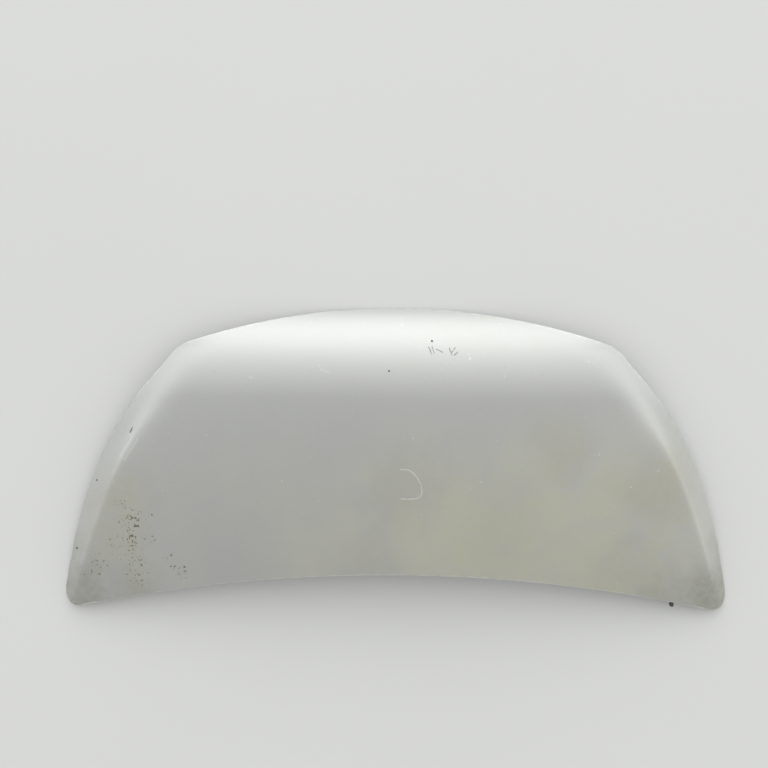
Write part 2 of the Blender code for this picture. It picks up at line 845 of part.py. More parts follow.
def seal_frames():
    """Middle, width direction and downward direction of the seal at each station."""
    frames = []
    for station in range(SEAL_STATIONS + 1):
        x = SEAL_HALF_SPAN * (2 * station / SEAL_STATIONS - 1)
        rear, nose = seal_strip(x)
        slant = math.sin(math.atan(nose_lean(x)))
        along = Vector((1, -slant, nose_slope(x))).normalized()
        width = (nose - rear).normalized()
        down = width.cross(along).normalized()
        if down.z > 0:
            down.negate()
        frames.append(((rear + nose) / 2, width, down))
    return frames


def nose_slope(x):
    """Rise of the beam along the seal's line, per metre of x."""
    ends = [seal_middle(x + step) for step in (-HEIGHT_STEP, HEIGHT_STEP)]
    heights = [beam_height(end.x, end.y) for end in ends]
    return (heights[1] - heights[0]) / (2 * HEIGHT_STEP)


def nose_lean(x):
    """How far the nose edge falls back at x, per metre of x."""
    return 8 * NOSE_BOW * x / NOSE_WIDTH**2


def seal_middle(x):
    """Plan line of the seal's middle."""
    return Vector((x, nose_edge(x) - SEAL_SETBACK))


def seal_strip(x):
    """Both edges of the seal's seat on the inner panel's top face, rear one first."""
    middle = seal_middle(x)
    slant = Vector((nose_lean(x), 1)).normalized() * (SEAL_WIDTH / 2)
    return on_beam(middle - slant), on_beam(middle + slant)


def clip_places():
    """x of each seal clip."""
    first = -(CLIP_COUNT - 1) / 2
    return [(first + index) * CLIP_SPACING for index in range(CLIP_COUNT)]


def clip_point(x):
    """Where a clip's axis meets the inner panel's top face."""
    rear, nose = seal_strip(x)
    return (rear + nose) / 2 - (nose - rear).normalized() * CLIP_SETBACK


def field_spots(foot, features, lines):
    """Points within the foot of the rim wall, clear of every feature, that carry the curve."""
    spots = []
    columns = math.ceil(WIDTH / 2 / FIELD_SPACING)
    for column in range(-columns, columns + 1):
        for row in range(math.ceil(NOSE_Y / FIELD_SPACING)):
            spots.append(((column + 0.5 * (row % 2)) * FIELD_SPACING, row * FIELD_SPACING))
    kept = np.array([spot for spot in spots if inside(spot, foot)])
    for loop in (foot, *features, *lines):
        kept = kept[loop_distance(kept, loop) > FIELD_CLEARANCE]
    return [on_beam(spot) for spot in kept if not any(inside(spot, loop) for loop in features)]


def make_inner_panel(finish):
    """Pressed panel: hem flange, beams that stand off the skin, and flanged openings."""
    outline = [skin_point(point.x, point.y, INNER_OFFSET) for point in RIM]
    flange = [skin_point(point.x, point.y, INNER_OFFSET) for point in inset(RIM, HEM_FLANGE)]
    foot = [on_beam(point) for point in inset(RIM, HEM_FLANGE + RIM_WALL)]
    folds = [flange, foot]
    holes = []
    for corners in opening_corners():
        edge = divided(rounded(corners, OPENING_RADIUS))
        holes.append([on_flange(point) for point in edge])
        bend = divided(rounded(corners, OPENING_RADIUS, FLANGE))
        folds.append([on_flange(point) for point in bend])
        bottom = divided(rounded(corners, OPENING_RADIUS, FLANGE + WALL))
        folds.append([on_beam(point) for point in bottom])
    for start, end in bead_lines():
        low = [on_beam(point) for point in stadium(start, end, BEAD_HALF_WIDTH + BEAD_WALL)]
        high = [on_beam(point) + UP * BEAD_HEIGHT for point in stadium(start, end, BEAD_HALF_WIDTH)]
        folds += [low, high]
    bolt_hole = BOLT / 2 + BOLT_CLEARANCE
    for side in (-1, 1):
        hinge = hinge_place()
        size = (HINGE_PLATE_WIDTH + 2 * SEAT_MARGIN, HINGE_PLATE_LENGTH + 2 * SEAT_MARGIN)
        folds += seat_loops(rectangle(side * hinge.x, hinge.y, *size), SEAT_MARGIN, hinge_seat_height())
        for bolt in hinge_bolts(side):
            holes.append(hole(bolt.x, bolt.y, bolt_hole, hinge_seat_height()))
        place = buffer_place(side)
        level = beam_height(place.x, place.y)
        folds += round_seat(place, BUFFER_SEAT, level)
        holes.append(hole(place.x, place.y, BUFFER_STEM + GAP, level))
    striker = striker_place()
    size = (LATCH_PLATE_WIDTH + 2 * SEAT_MARGIN, LATCH_PLATE_LENGTH + 2 * SEAT_MARGIN)
    folds += seat_loops(rectangle(striker.x, striker.y, *size), SEAT_MARGIN, latch_seat_height())
    for bolt in striker_bolts():
        holes.append(hole(bolt.x, bolt.y, bolt_hole, latch_seat_height()))
    socket = socket_place()
    level = beam_height(socket.x, socket.y)
    folds += round_seat(socket, SOCKET_SEAT, level)
    holes.append(hole(socket.x, socket.y, SOCKET_BORE + SOCKET_WALL + GAP, level))
    strips = [seal_strip(frame[0].x) for frame in seal_frames()]
    for x in clip_places():
        clip = clip_point(x)
        holes.append(hole(clip.x, clip.y, CLIP_BARB, sides=SMALL_SIDES))
    runs = [[strip[0] for strip in strips], [strip[1] for strip in strips]]
    spots = field_spots(foot, folds[2:] + holes, runs)
    pressed("inner_panel", outline, INNER_SHEET, finish, folds, holes, runs, spots)


def lipped_plate(name, place, width, length, thickness, bolts, level, finish):
    """Stiffening plate with a turned-up lip all round and a hole at each bolt."""
    base_z = level + GAP + thickness
    inner = rounded(rectangle(place.x, place.y, width, length), SEAT_MARGIN, -PLATE_LIP_RUN)
    outer = rounded(rectangle(place.x, place.y, width, length), SEAT_MARGIN)
    foot = [Vector((point.x, point.y, base_z)) for point in inner]
    lip = [Vector((point.x, point.y, base_z + PLATE_LIP)) for point in outer]
    radius = BOLT / 2 + BOLT_CLEARANCE
    holes = [hole(bolt.x, bolt.y, radius, base_z) for bolt in bolts]
    pressed(name, lip, thickness, finish, [foot], holes)


def make_weld_nut(name, bolt, level, finish):
    """Square weld nut standing on a stiffening plate."""
    bore = BOLT / 2 + NUT_CLEARANCE
    loops = [
        polygon_loop(NUT_WIDTH, 4, 0),
        polygon_loop(NUT_WIDTH, 4, NUT_HEIGHT),
        circle(bore / math.cos(math.pi / ROUND_SIDES), NUT_HEIGHT),
        circle(bore / math.cos(math.pi / ROUND_SIDES), 0),
    ]
    nut = loft(name, loops, finish, ring=True)
    nut.location = (bolt.x, bolt.y, level)


def make_hinge_seats(steel):
    """Stiffening plate and two weld nuts over each hinge seat."""
    level = hinge_seat_height()
    nut_level = level + HINGE_PLATE + 2 * GAP
    for side, word in ((-1, "left"), (1, "right")):
        place = Vector((side * hinge_place().x, hinge_place().y))
        size = (HINGE_PLATE_WIDTH, HINGE_PLATE_LENGTH, HINGE_PLATE)
        lipped_plate(f"hinge_reinforcement_{word}", place, *size, hinge_bolts(side), level, steel)
        for bolt, end in zip(hinge_bolts(side), ("rear", "front")):
            make_weld_nut(f"hinge_weld_nut_{word}_{end}", bolt, nut_level, steel)


def make_striker(steel, zinc):
    """Latch stiffening plate and nuts above the front beam; striker and bolts below it."""
    level = latch_seat_height()
    place = striker_place()
    size = (LATCH_PLATE_WIDTH, LATCH_PLATE_LENGTH, LATCH_PLATE)
    lipped_plate("latch_reinforcement", place, *size, striker_bolts(), level, steel)
    nut_level = level + LATCH_PLATE + 2 * GAP
    under = level - INNER_SHEET - GAP
    corners = rectangle(place.x, place.y, STRIKER_PLATE_WIDTH, STRIKER_PLATE_LENGTH)
    outline = rounded(corners, STRIKER_PLATE_CORNER)
    radius = BOLT / 2 + BOLT_CLEARANCE
    holes = [hole(bolt.x, bolt.y, radius, under) for bolt in striker_bolts()]
    outline = [Vector((point.x, point.y, under)) for point in outline]
    pressed("striker_plate", outline, STRIKER_PLATE, zinc, [], holes)
    for bolt, word in zip(striker_bolts(), ("left", "right")):
        make_weld_nut(f"striker_weld_nut_{word}", bolt, nut_level, steel)
        make_bolt(f"striker_bolt_{word}", bolt, under - STRIKER_PLATE - GAP, nut_level, zinc)
    make_striker_loop(place, under - STRIKER_PLATE - GAP, zinc)


def make_bolt(name, place, head_top, nut_level, finish):
    """Flanged hexagon bolt, head down, its shank up through the nut."""
    top = nut_level + NUT_HEIGHT + BOLT_PAST_NUT - head_top
    low = -BOLT_WASHER_HEIGHT - BOLT_HEAD_HEIGHT
    loops = [
        circle(BOLT_HEAD / 2 - BOLT_CHAMFER, low),
        polygon_loop(BOLT_HEAD, 6, low + BOLT_CHAMFER),
        polygon_loop(BOLT_HEAD, 6, -BOLT_WASHER_HEIGHT),
        circle(BOLT_WASHER / 2, -BOLT_WASHER_HEIGHT / 2),
        circle(BOLT_WASHER / 2, 0),
        circle(BOLT / 2, 0),
        circle(BOLT / 2, top - BOLT_CHAMFER),
        circle(BOLT / 2 - BOLT_CHAMFER, top),
    ]
    bolt = loft(name, loops, finish)
    bolt.location = (place.x, place.y, head_top)


def make_striker_loop(place, top, finish):
    """Round bar bent to a U, welded to the striker plate by both ends."""
    half = STRIKER_LOOP_LENGTH / 2
    bottom = top - STRIKER_LOOP_DROP + STRIKER_BAR / 2
    turn_z = bottom + STRIKER_BEND
    path = [(Vector((0, -half, top)), 0.0)]
    for centre_y, first in ((-half + STRIKER_BEND, 0.0), (half - STRIKER_BEND, math.pi / 2)):
        for step in range(STRIKER_BEND_STEPS + 1):
            angle = first + math.pi / 2 * step / STRIKER_BEND_STEPS
            y = centre_y - STRIKER_BEND * math.cos(angle)
            path.append((Vector((0, y, turn_z - STRIKER_BEND * math.sin(angle))), angle))
    path.append((Vector((0, half, top)), math.pi))
    loops = []
    for centre, angle in path:
        across = Vector((0, -math.cos(angle), -math.sin(angle)))
        loop = []
        for side in range(HOLE_SIDES):
            turn = 2 * math.pi * side / HOLE_SIDES
            spoke = Vector((1, 0, 0)) * math.cos(turn) + across * math.sin(turn)
            loop.append(centre + spoke * (STRIKER_BAR / 2))
        loops.append(loop)
    bar = loft("striker_loop", loops, finish)
    bar.location = (place.x, place.y, 0)


def make_corner_buffers(rubber):
    """Rubber buffer under each nose corner, its stem pushed up through the inner panel."""
    sheet = INNER_SHEET + GAP
    loops = [
        circle(BUFFER_RADIUS - BUFFER_ROUNDING, -sheet - BUFFER_HEIGHT),
        circle(BUFFER_RADIUS, -sheet - BUFFER_HEIGHT + BUFFER_ROUNDING),
        circle(BUFFER_RADIUS, -sheet),
        circle(BUFFER_STEM, -sheet),
        circle(BUFFER_STEM, GAP),
        circle(BUFFER_BARB, GAP),
        circle(BUFFER_TIP, GAP + BUFFER_BARB_LENGTH),
    ]
    for side, word in ((-1, "left"), (1, "right")):
        place = buffer_place(side)
        stop = loft(f"corner_buffer_{word}", loops, rubber)
        stop.location = (place.x, place.y, beam_height(place.x, place.y))


def make_edge_stop(rubber):
    """Rubber stop under the rear hem, reaching a little behind it."""
    middle_x = WIDTH / 2 - EDGE_STOP_INSET
    edge_y = rear_edge(middle_x) - HEM_RADIUS
    loops = []
    for back in (0, EDGE_STOP_CHAMFER, EDGE_STOP_LENGTH / 2, EDGE_STOP_LENGTH):
        y = edge_y - EDGE_STOP_REACH + back
        under_y = max(y, edge_y + 2 * HEM_RADIUS)
        sides = [middle_x - EDGE_STOP_WIDTH / 2, middle_x + EDGE_STOP_WIDTH / 2]
        top = min(hem_underside(x, under_y) for x in sides)
        chamfer = EDGE_STOP_CHAMFER if back == 0 else 0.0
        left, right = sides[0] + chamfer, sides[1] - chamfer
        low = top - EDGE_STOP_HEIGHT + chamfer
        high = top - chamfer
        corners = ((left, low), (right, low), (right, high), (left, high))
        loops.append([Vector((x, y, z)) for x, z in corners])
    loft("rear_edge_stop", loops, rubber)


def hem_underside(x, y):
    """Height just under the hem's return at the plan point."""
    normal = slope_normal(height, x, y)
    return height(x, y) - (2 * HEM_RADIUS + GAP) / normal.z - GAP


def make_prop_socket(plastic):
    """Plastic bush in the left side beam that takes the end of the prop rod."""
    place = socket_place()
    level = beam_height(place.x, place.y)
    outer = SOCKET_BORE + SOCKET_WALL
    sheet = INNER_SHEET + GAP
    clear = 1 / math.cos(math.pi / ROUND_SIDES)
    loops = [
        circle(SOCKET_BORE * clear, -sheet - SOCKET_RIM_HEIGHT),
        circle(SOCKET_RIM - SOCKET_WALL / 2, -sheet - SOCKET_RIM_HEIGHT),
        circle(SOCKET_RIM, -sheet),
        circle(outer, -sheet),
        circle(outer, GAP),
        circle(outer + SOCKET_WALL, GAP + SOCKET_WALL),
        circle(outer, SOCKET_LENGTH),
        circle(SOCKET_BORE * clear, SOCKET_LENGTH),
    ]
    bush = loft("prop_rod_socket", loops, plastic, ring=True)
    bush.location = (place.x, place.y, level)


def seal_profile():
    """Section of the lip seal as (towards the nose, downwards) pairs: a base and a curled lip."""
    half = SEAL_BASE_WIDTH / 2
    outer = []
    inner = []
    for step in range(LIP_STEPS + 1):
        share = step / LIP_STEPS
        angle = SEAL_LIP_TURN * share
        thickness = SEAL_LIP_ROOT + (SEAL_LIP_TIP - SEAL_LIP_ROOT) * share
        for side, radius in ((outer, SEAL_LIP_RADIUS), (inner, SEAL_LIP_RADIUS - thickness)):
            across = half - SEAL_LIP_RADIUS + radius * math.cos(angle)
            side.append((across, SEAL_BASE + radius * math.sin(angle)))
    return [(-half, 0), (half, 0), *outer, *reversed(inner), (-half, SEAL_BASE)]


def make_front_seal(rubber, plastic):
    """Lip seal along the front beam, and the push-in clips that hold it."""
    sheet = INNER_SHEET + 2 * GAP
    loops = []
    for middle, width, down in seal_frames():
        base = middle + down * sheet
        loops.append([base + width * across + down * drop for across, drop in seal_profile()])
    seal = loft("front_seal", loops, rubber)
    cutter_bm = bmesh.new()
    for number, x in enumerate(clip_places(), 1):
        rear, nose = seal_strip(x)
        width = (nose - rear).normalized()
        along = Vector((1, -nose_lean(x), nose_slope(x))).normalized()
        up = along.cross(width).normalized()
        turn = Matrix((width.cross(up), width, up)).transposed().to_4x4()
        place = Matrix.Translation(clip_point(x)) @ turn
        make_clip(f"seal_clip_{number}", place, sheet + SEAL_BASE, plastic)
        bmesh.ops.create_cone(
            cutter_bm,
            cap_ends=True,
            segments=HOLE_SIDES,
            radius1=CLIP_SHANK + 2 * GAP,
            radius2=CLIP_SHANK + 2 * GAP,
            depth=4 * SEAL_BASE,
            matrix=place @ Matrix.Translation((0, 0, -sheet - SEAL_BASE / 2)),
        )
    cutter = add_object("clip_holes", cutter_bm, rubber)
    cutter.hide_render = True
    cutter.display_type = "WIRE"
    cut = seal.modifiers.new("clip holes", "BOOLEAN")
    cut.operation = "DIFFERENCE"
    cut.solver = "EXACT"
    cut.object = cutter


def make_clip(name, place, below, finish):
    """Push-in clip: flat head under the seal, shank through it, barb above the panel."""
    head = -below - GAP
    barb = 2 * GAP
    loops = [
        circle(CLIP_HEAD - CLIP_ROUNDING, head - CLIP_HEAD_HEIGHT, SMALL_SIDES),
        circle(CLIP_HEAD, head, SMALL_SIDES),
        circle(CLIP_SHANK, head, SMALL_SIDES),
        circle(CLIP_SHANK, barb, SMALL_SIDES),
        circle(CLIP_BARB - GAP, barb + CLIP_ROUNDING, SMALL_SIDES),
        circle(CLIP_TIP, barb + CLIP_BARB_LENGTH, SMALL_SIDES),
    ]
    clip = loft(name, loops, finish)
    clip.matrix_local = place


def mastic_places():
    """Middle of each mastic pad, on the flanges round the openings."""
    places = []
    for corners, sides in zip(opening_corners(), MASTIC_SIDES):
        for side in sides:
            corner, after = corners[side], corners[(side + 1) % len(corners)]
            outward = Vector(((after - corner).y, -(after - corner).x)).normalized()
            places.append((corner + after) / 2 + outward * (FLANGE / 2))
    return places + [Vector((-place.x, place.y)) for place in places]


def make_mastic_pads(mastic):
    """Squeezed pads of mastic between the flanges and the skin."""
    for number, place in enumerate(mastic_places(), 1):
        loops = []
        for share, radius in ((0, MASTIC_RADIUS), (0.5, MASTIC_RADIUS + MASTIC_BULGE), (1, MASTIC_RADIUS)):
            loop = []
            for point in circle(radius, 0.0, SMALL_SIDES, place):
                low = flange_height(point.x, point.y) + GAP
                top = height(point.x, point.y) - SKIN - GAP - HEM_GAP / 2
                loop.append(Vector((point.x, point.y, low + (top - low) * share)))
            loops.append(loop)
        loft(f"mastic_pad_{number:02d}", loops, mastic)


def clear_scene():
    """Remove every object the file starts with."""
    for old in list(bpy.data.objects):
        bpy.data.objects.remove(old, do_unlink=True)


def place_middle():
    """Empty that carries every piece and stands at the middle of the outline."""
    rings = hem_rings()
    reach = [point.y for ring in rings for point in ring]
    middle = bpy.data.objects.new("bonnet_middle", None)
    middle.location = (0, -(min(reach) + max(reach)) / 2, 0)
    bpy.context.scene.collection.objects.link(middle)


def main():
    """Build the bonnet, skin first."""
    clear_scene()
    settle_on_ground()
    place_middle()
    paint = material("silver paint", (0.42, 0.43, 0.43), 0.35, 0.6)
    primer = material("painted inner steel", (0.36, 0.37, 0.37), 0.5, 0.4)
    steel = material("coated steel", (0.24, 0.24, 0.24), 0.5, 0.7)
    zinc = material("zinc plate", (0.5, 0.47, 0.36), 0.35, 0.9)
    rubber = material("black rubber", (0.015, 0.015, 0.015), 0.8, 0.0)
    plastic = material("black plastic", (0.02, 0.02, 0.02), 0.5, 0.0)
    mastic = material("grey mastic", (0.16, 0.16, 0.16), 0.9, 0.0)
    make_outer_panel(paint)
    make_inner_panel(primer)
    make_hinge_seats(steel)
    make_striker(steel, zinc)
    make_corner_buffers(rubber)
    make_edge_stop(rubber)
    make_prop_socket(plastic)
    make_front_seal(rubber, plastic)
    make_mastic_pads(mastic)


main()
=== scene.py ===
"""Looks of a silver car bonnet that lies outer face up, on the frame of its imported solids."""

import json
import logging
import math
from collections.abc import Callable, Sequence
from dataclasses import dataclass, field
from enum import Enum
from functools import cached_property

import bmesh
import bpy
import numpy as np
from mathutils import Matrix, Vector


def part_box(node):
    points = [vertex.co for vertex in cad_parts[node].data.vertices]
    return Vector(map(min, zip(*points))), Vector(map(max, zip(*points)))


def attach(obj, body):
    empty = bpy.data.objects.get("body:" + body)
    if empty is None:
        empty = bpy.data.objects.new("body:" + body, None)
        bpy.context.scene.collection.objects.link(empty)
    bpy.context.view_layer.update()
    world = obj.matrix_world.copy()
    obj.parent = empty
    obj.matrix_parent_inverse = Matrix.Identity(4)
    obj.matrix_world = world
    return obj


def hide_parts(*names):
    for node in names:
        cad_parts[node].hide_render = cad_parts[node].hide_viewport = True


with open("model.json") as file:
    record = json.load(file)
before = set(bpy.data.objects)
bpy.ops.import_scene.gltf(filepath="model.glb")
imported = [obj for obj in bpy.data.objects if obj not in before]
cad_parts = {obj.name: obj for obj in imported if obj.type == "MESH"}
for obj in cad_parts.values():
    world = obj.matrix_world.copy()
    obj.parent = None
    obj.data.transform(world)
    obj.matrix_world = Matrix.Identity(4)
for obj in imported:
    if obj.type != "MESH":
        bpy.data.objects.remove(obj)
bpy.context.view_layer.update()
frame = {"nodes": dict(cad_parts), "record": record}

LOG = logging.getLogger("bonnet")
BODY = "root"
Socket = bpy.types.NodeSocket
Wire = Socket | float | Sequence[float]
Colour = tuple[float, float, float]
Point = tuple[float, float, float]
Patch = tuple[float, float, float, float]
Line = tuple[tuple[float, float], tuple[float, float]]
Step = tuple[float, ...]
FROM_ABOVE = (1.0, 1.0, 0.0)
VECTOR_INPUTS = ("Place", "Start", "End", "Centre")
CURVE_POINTS = 400


class Slot(Enum):
    """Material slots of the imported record."""

    PAINT = "paint"
    INNER_PAINT = "inner_paint"
    SEAT_STEEL = "seat_steel"
    ZINC = "zinc"
    RUBBER = "rubber"
    PLASTIC = "plastic"
    MASTIC = "mastic"


class Blend(Enum):
    """Ways in which one colour goes over another."""

    OVER = "MIX"
    DARKEN = "MULTIPLY"


# Node trees


@dataclass
class Graph:
    """Adds nodes to one node tree and wires them up."""

    tree: bpy.types.NodeTree

    def add(self, kind: str, **settings: object) -> bpy.types.Node:
        """Add one node.

        Args:
            kind: Type name of the node.
            settings: Properties to set on it.

        Returns:
            The new node.
        """
        node = self.tree.nodes.new(kind)
        for name, value in settings.items():
            setattr(node, name, value)
        return node

    def feed(self, target: Socket, value: Wire) -> None:
        """Link a socket into another, or set that one to a plain value.

        Args:
            target: The socket that takes it.
            value: The socket or the plain value.
        """
        if isinstance(value, Socket):
            self.tree.links.new(value, target)
        elif isinstance(value, (int, float)):
            target.default_value = value
        else:
            size = len(target.default_value)
            target.default_value = (*value, 1.0)[:size]

    def math(self, operation: str, first: Wire, second: Wire = 0.0, third: Wire = 0.0) -> Socket:
        """Number made by one Math node.

        Args:
            operation: Name of the operation.
            first: First number.
            second: Second number.
            third: Third number.

        Returns:
            The result.
        """
        node = self.add("ShaderNodeMath", operation=operation)
        for target, value in zip(node.inputs, (first, second, third)):
            self.feed(target, value)
        return node.outputs[0]

    def times(self, first: Wire, second: Wire) -> Socket:
        """Product of two numbers."""
        return self.math("MULTIPLY", first, second)

    def vector(self, operation: str, first: Wire, second: Wire = (0.0, 0.0, 0.0)) -> Socket:
        """Vector or number made by one Vector Math node.

        Args:
            operation: Name of the operation.
            first: First vector.
            second: Second vector.

        Returns:
            The result.
        """
        node = self.add("ShaderNodeVectorMath", operation=operation)
        self.feed(node.inputs[0], first)
        self.feed(node.inputs[1], second)
        return next(output for output in node.outputs if output.enabled)

    def scaled(self, vector: Socket, factor: Wire) -> Socket:
        """Vector times a number.

        Args:
            vector: The vector.
            factor: The number.

        Returns:
            The longer or shorter vector.
        """
        node = self.add("ShaderNodeVectorMath", operation="SCALE")
        self.feed(node.inputs[0], vector)
        self.feed(node.inputs["Scale"], factor)
        return node.outputs[0]

    def axes(self, vector: Socket) -> bpy.types.NodeOutputs:
        """Take a vector apart.

        Args:
            vector: The vector.

        Returns:
            The sockets of its x, y and z.
        """
        node = self.add("ShaderNodeSeparateXYZ")
        self.feed(node.inputs[0], vector)
        return node.outputs

    def stepped(self, value: Wire, low: Wire, high: Wire, start: Wire = 0.0, end: Wire = 1.0) -> Socket:
        """Smooth step of a value.

        Args:
            value: The number to map.
            low: Where the step starts.
            high: Where it ends.
            start: Result below the step.
            end: Result above it.

        Returns:
            The mapped number.
        """
        node = self.add("ShaderNodeMapRange", interpolation_type="SMOOTHSTEP")
        for target, given in zip(node.inputs, (value, low, high, start, end)):
            self.feed(target, given)
        return node.outputs[0]

    def noise(self, place: Wire, scale: Wire, detail: float = 3.0, roughness: float = 0.5) -> Socket:
        """Value of a noise.

        Args:
            place: Coordinates.
            scale: Lumps per metre.
            detail: Octaves.
            roughness: Strength of the finer octaves.

        Returns:
            The value, from 0 to 1.
        """
        node = self.add("ShaderNodeTexNoise")
        self.feed(node.inputs["Vector"], place)
        self.feed(node.inputs["Scale"], scale)
        node.inputs["Detail"].default_value = detail
        node.inputs["Roughness"].default_value = roughness
        return node.outputs["Fac"]

    def strayed(self, place: Socket, scale: float, detail: float, reach: Wire) -> Socket:
        """Coordinates that stray at random.

        Args:
            place: Coordinates.
            scale: Strays per metre.
            detail: Octaves of the noise.
            reach: How far they stray.

        Returns:
            The new coordinates.
        """
        random = self.noise(place, scale, detail).node.outputs["Color"]
        centred = self.vector("SUBTRACT", random, (0.5, 0.5, 0.5))
        return self.vector("ADD", place, self.scaled(centred, reach))

    def cells(self, place: Socket, size: Wire, **settings: object) -> tuple[Socket, bpy.types.NodeOutputs]:
        """Random cells.

        Args:
            place: Coordinates.
            size: Metres across one cell.
            settings: Properties to set on the texture.

        Returns:
            Distance from each cell's point, in cells, and three random numbers for the cell.
        """
        node = self.add("ShaderNodeTexVoronoi", **settings)
        self.feed(node.inputs["Vector"], place)
        self.feed(node.inputs["Scale"], self.math("DIVIDE", 1.0, size))
        parts = self.add("ShaderNodeSeparateColor")
        self.feed(parts.inputs[0], node.outputs["Color"])
        return node.outputs["Distance"], parts.outputs

    def mix(self, amount: Wire, under: Wire, over: Wire, blend: Blend = Blend.OVER) -> Socket:
        """Colour mixed by an amount.

        Args:
            amount: Share of the second colour.
            under: First colour.
            over: Second colour.
            blend: How the second goes over the first.

        Returns:
            The mixed colour.
        """
        node = self.add("ShaderNodeMix", data_type="RGBA", blend_type=blend.value)
        self.feed(node.inputs[0], amount)
        self.feed(node.inputs[6], under)
        self.feed(node.inputs[7], over)
        return node.outputs[2]

    def between(self, amount: Wire, start: Wire, end: Wire) -> Socket:
        """Number between two others.

        Args:
            amount: Share of the way from start to end.
            start: Number at 0.
            end: Number at 1.

        Returns:
            The number.
        """
        node = self.add("ShaderNodeMix", data_type="FLOAT")
        for target, value in zip(node.inputs[:1] + node.inputs[2:4], (amount, start, end)):
            self.feed(target, value)
        return node.outputs[0]

    def joined(self, masks: Sequence[Wire]) -> Socket:
        """Union of several masks.

        Args:
            masks: The masks.

        Returns:
            The largest of them at each place.
        """
        result = masks[0]
        for mask in masks[1:]:
            result = self.math("MAXIMUM", result, mask)
        return result

    def place(self) -> Socket:
        """Position on the object, in metres."""
        return self.add("ShaderNodeTexCoord").outputs["Object"]

    def attribute(self, name: str) -> Socket:
        """Number that the mesh carries under the name."""
        return self.add("ShaderNodeAttribute", attribute_name=name).outputs["Fac"]

    def effect(self, group: bpy.types.NodeTree, **values: Wire) -> bpy.types.Node:
        """Place a shared effect.

        Args:
            group: The effect's node group.
            values: Its inputs by name, with underscores for spaces.

        Returns:
            The group node.
        """
        node = self.add("ShaderNodeGroup", node_tree=group)
        for name, value in values.items():
            self.feed(node.inputs[name.replace("_", " ")], value)
        return node


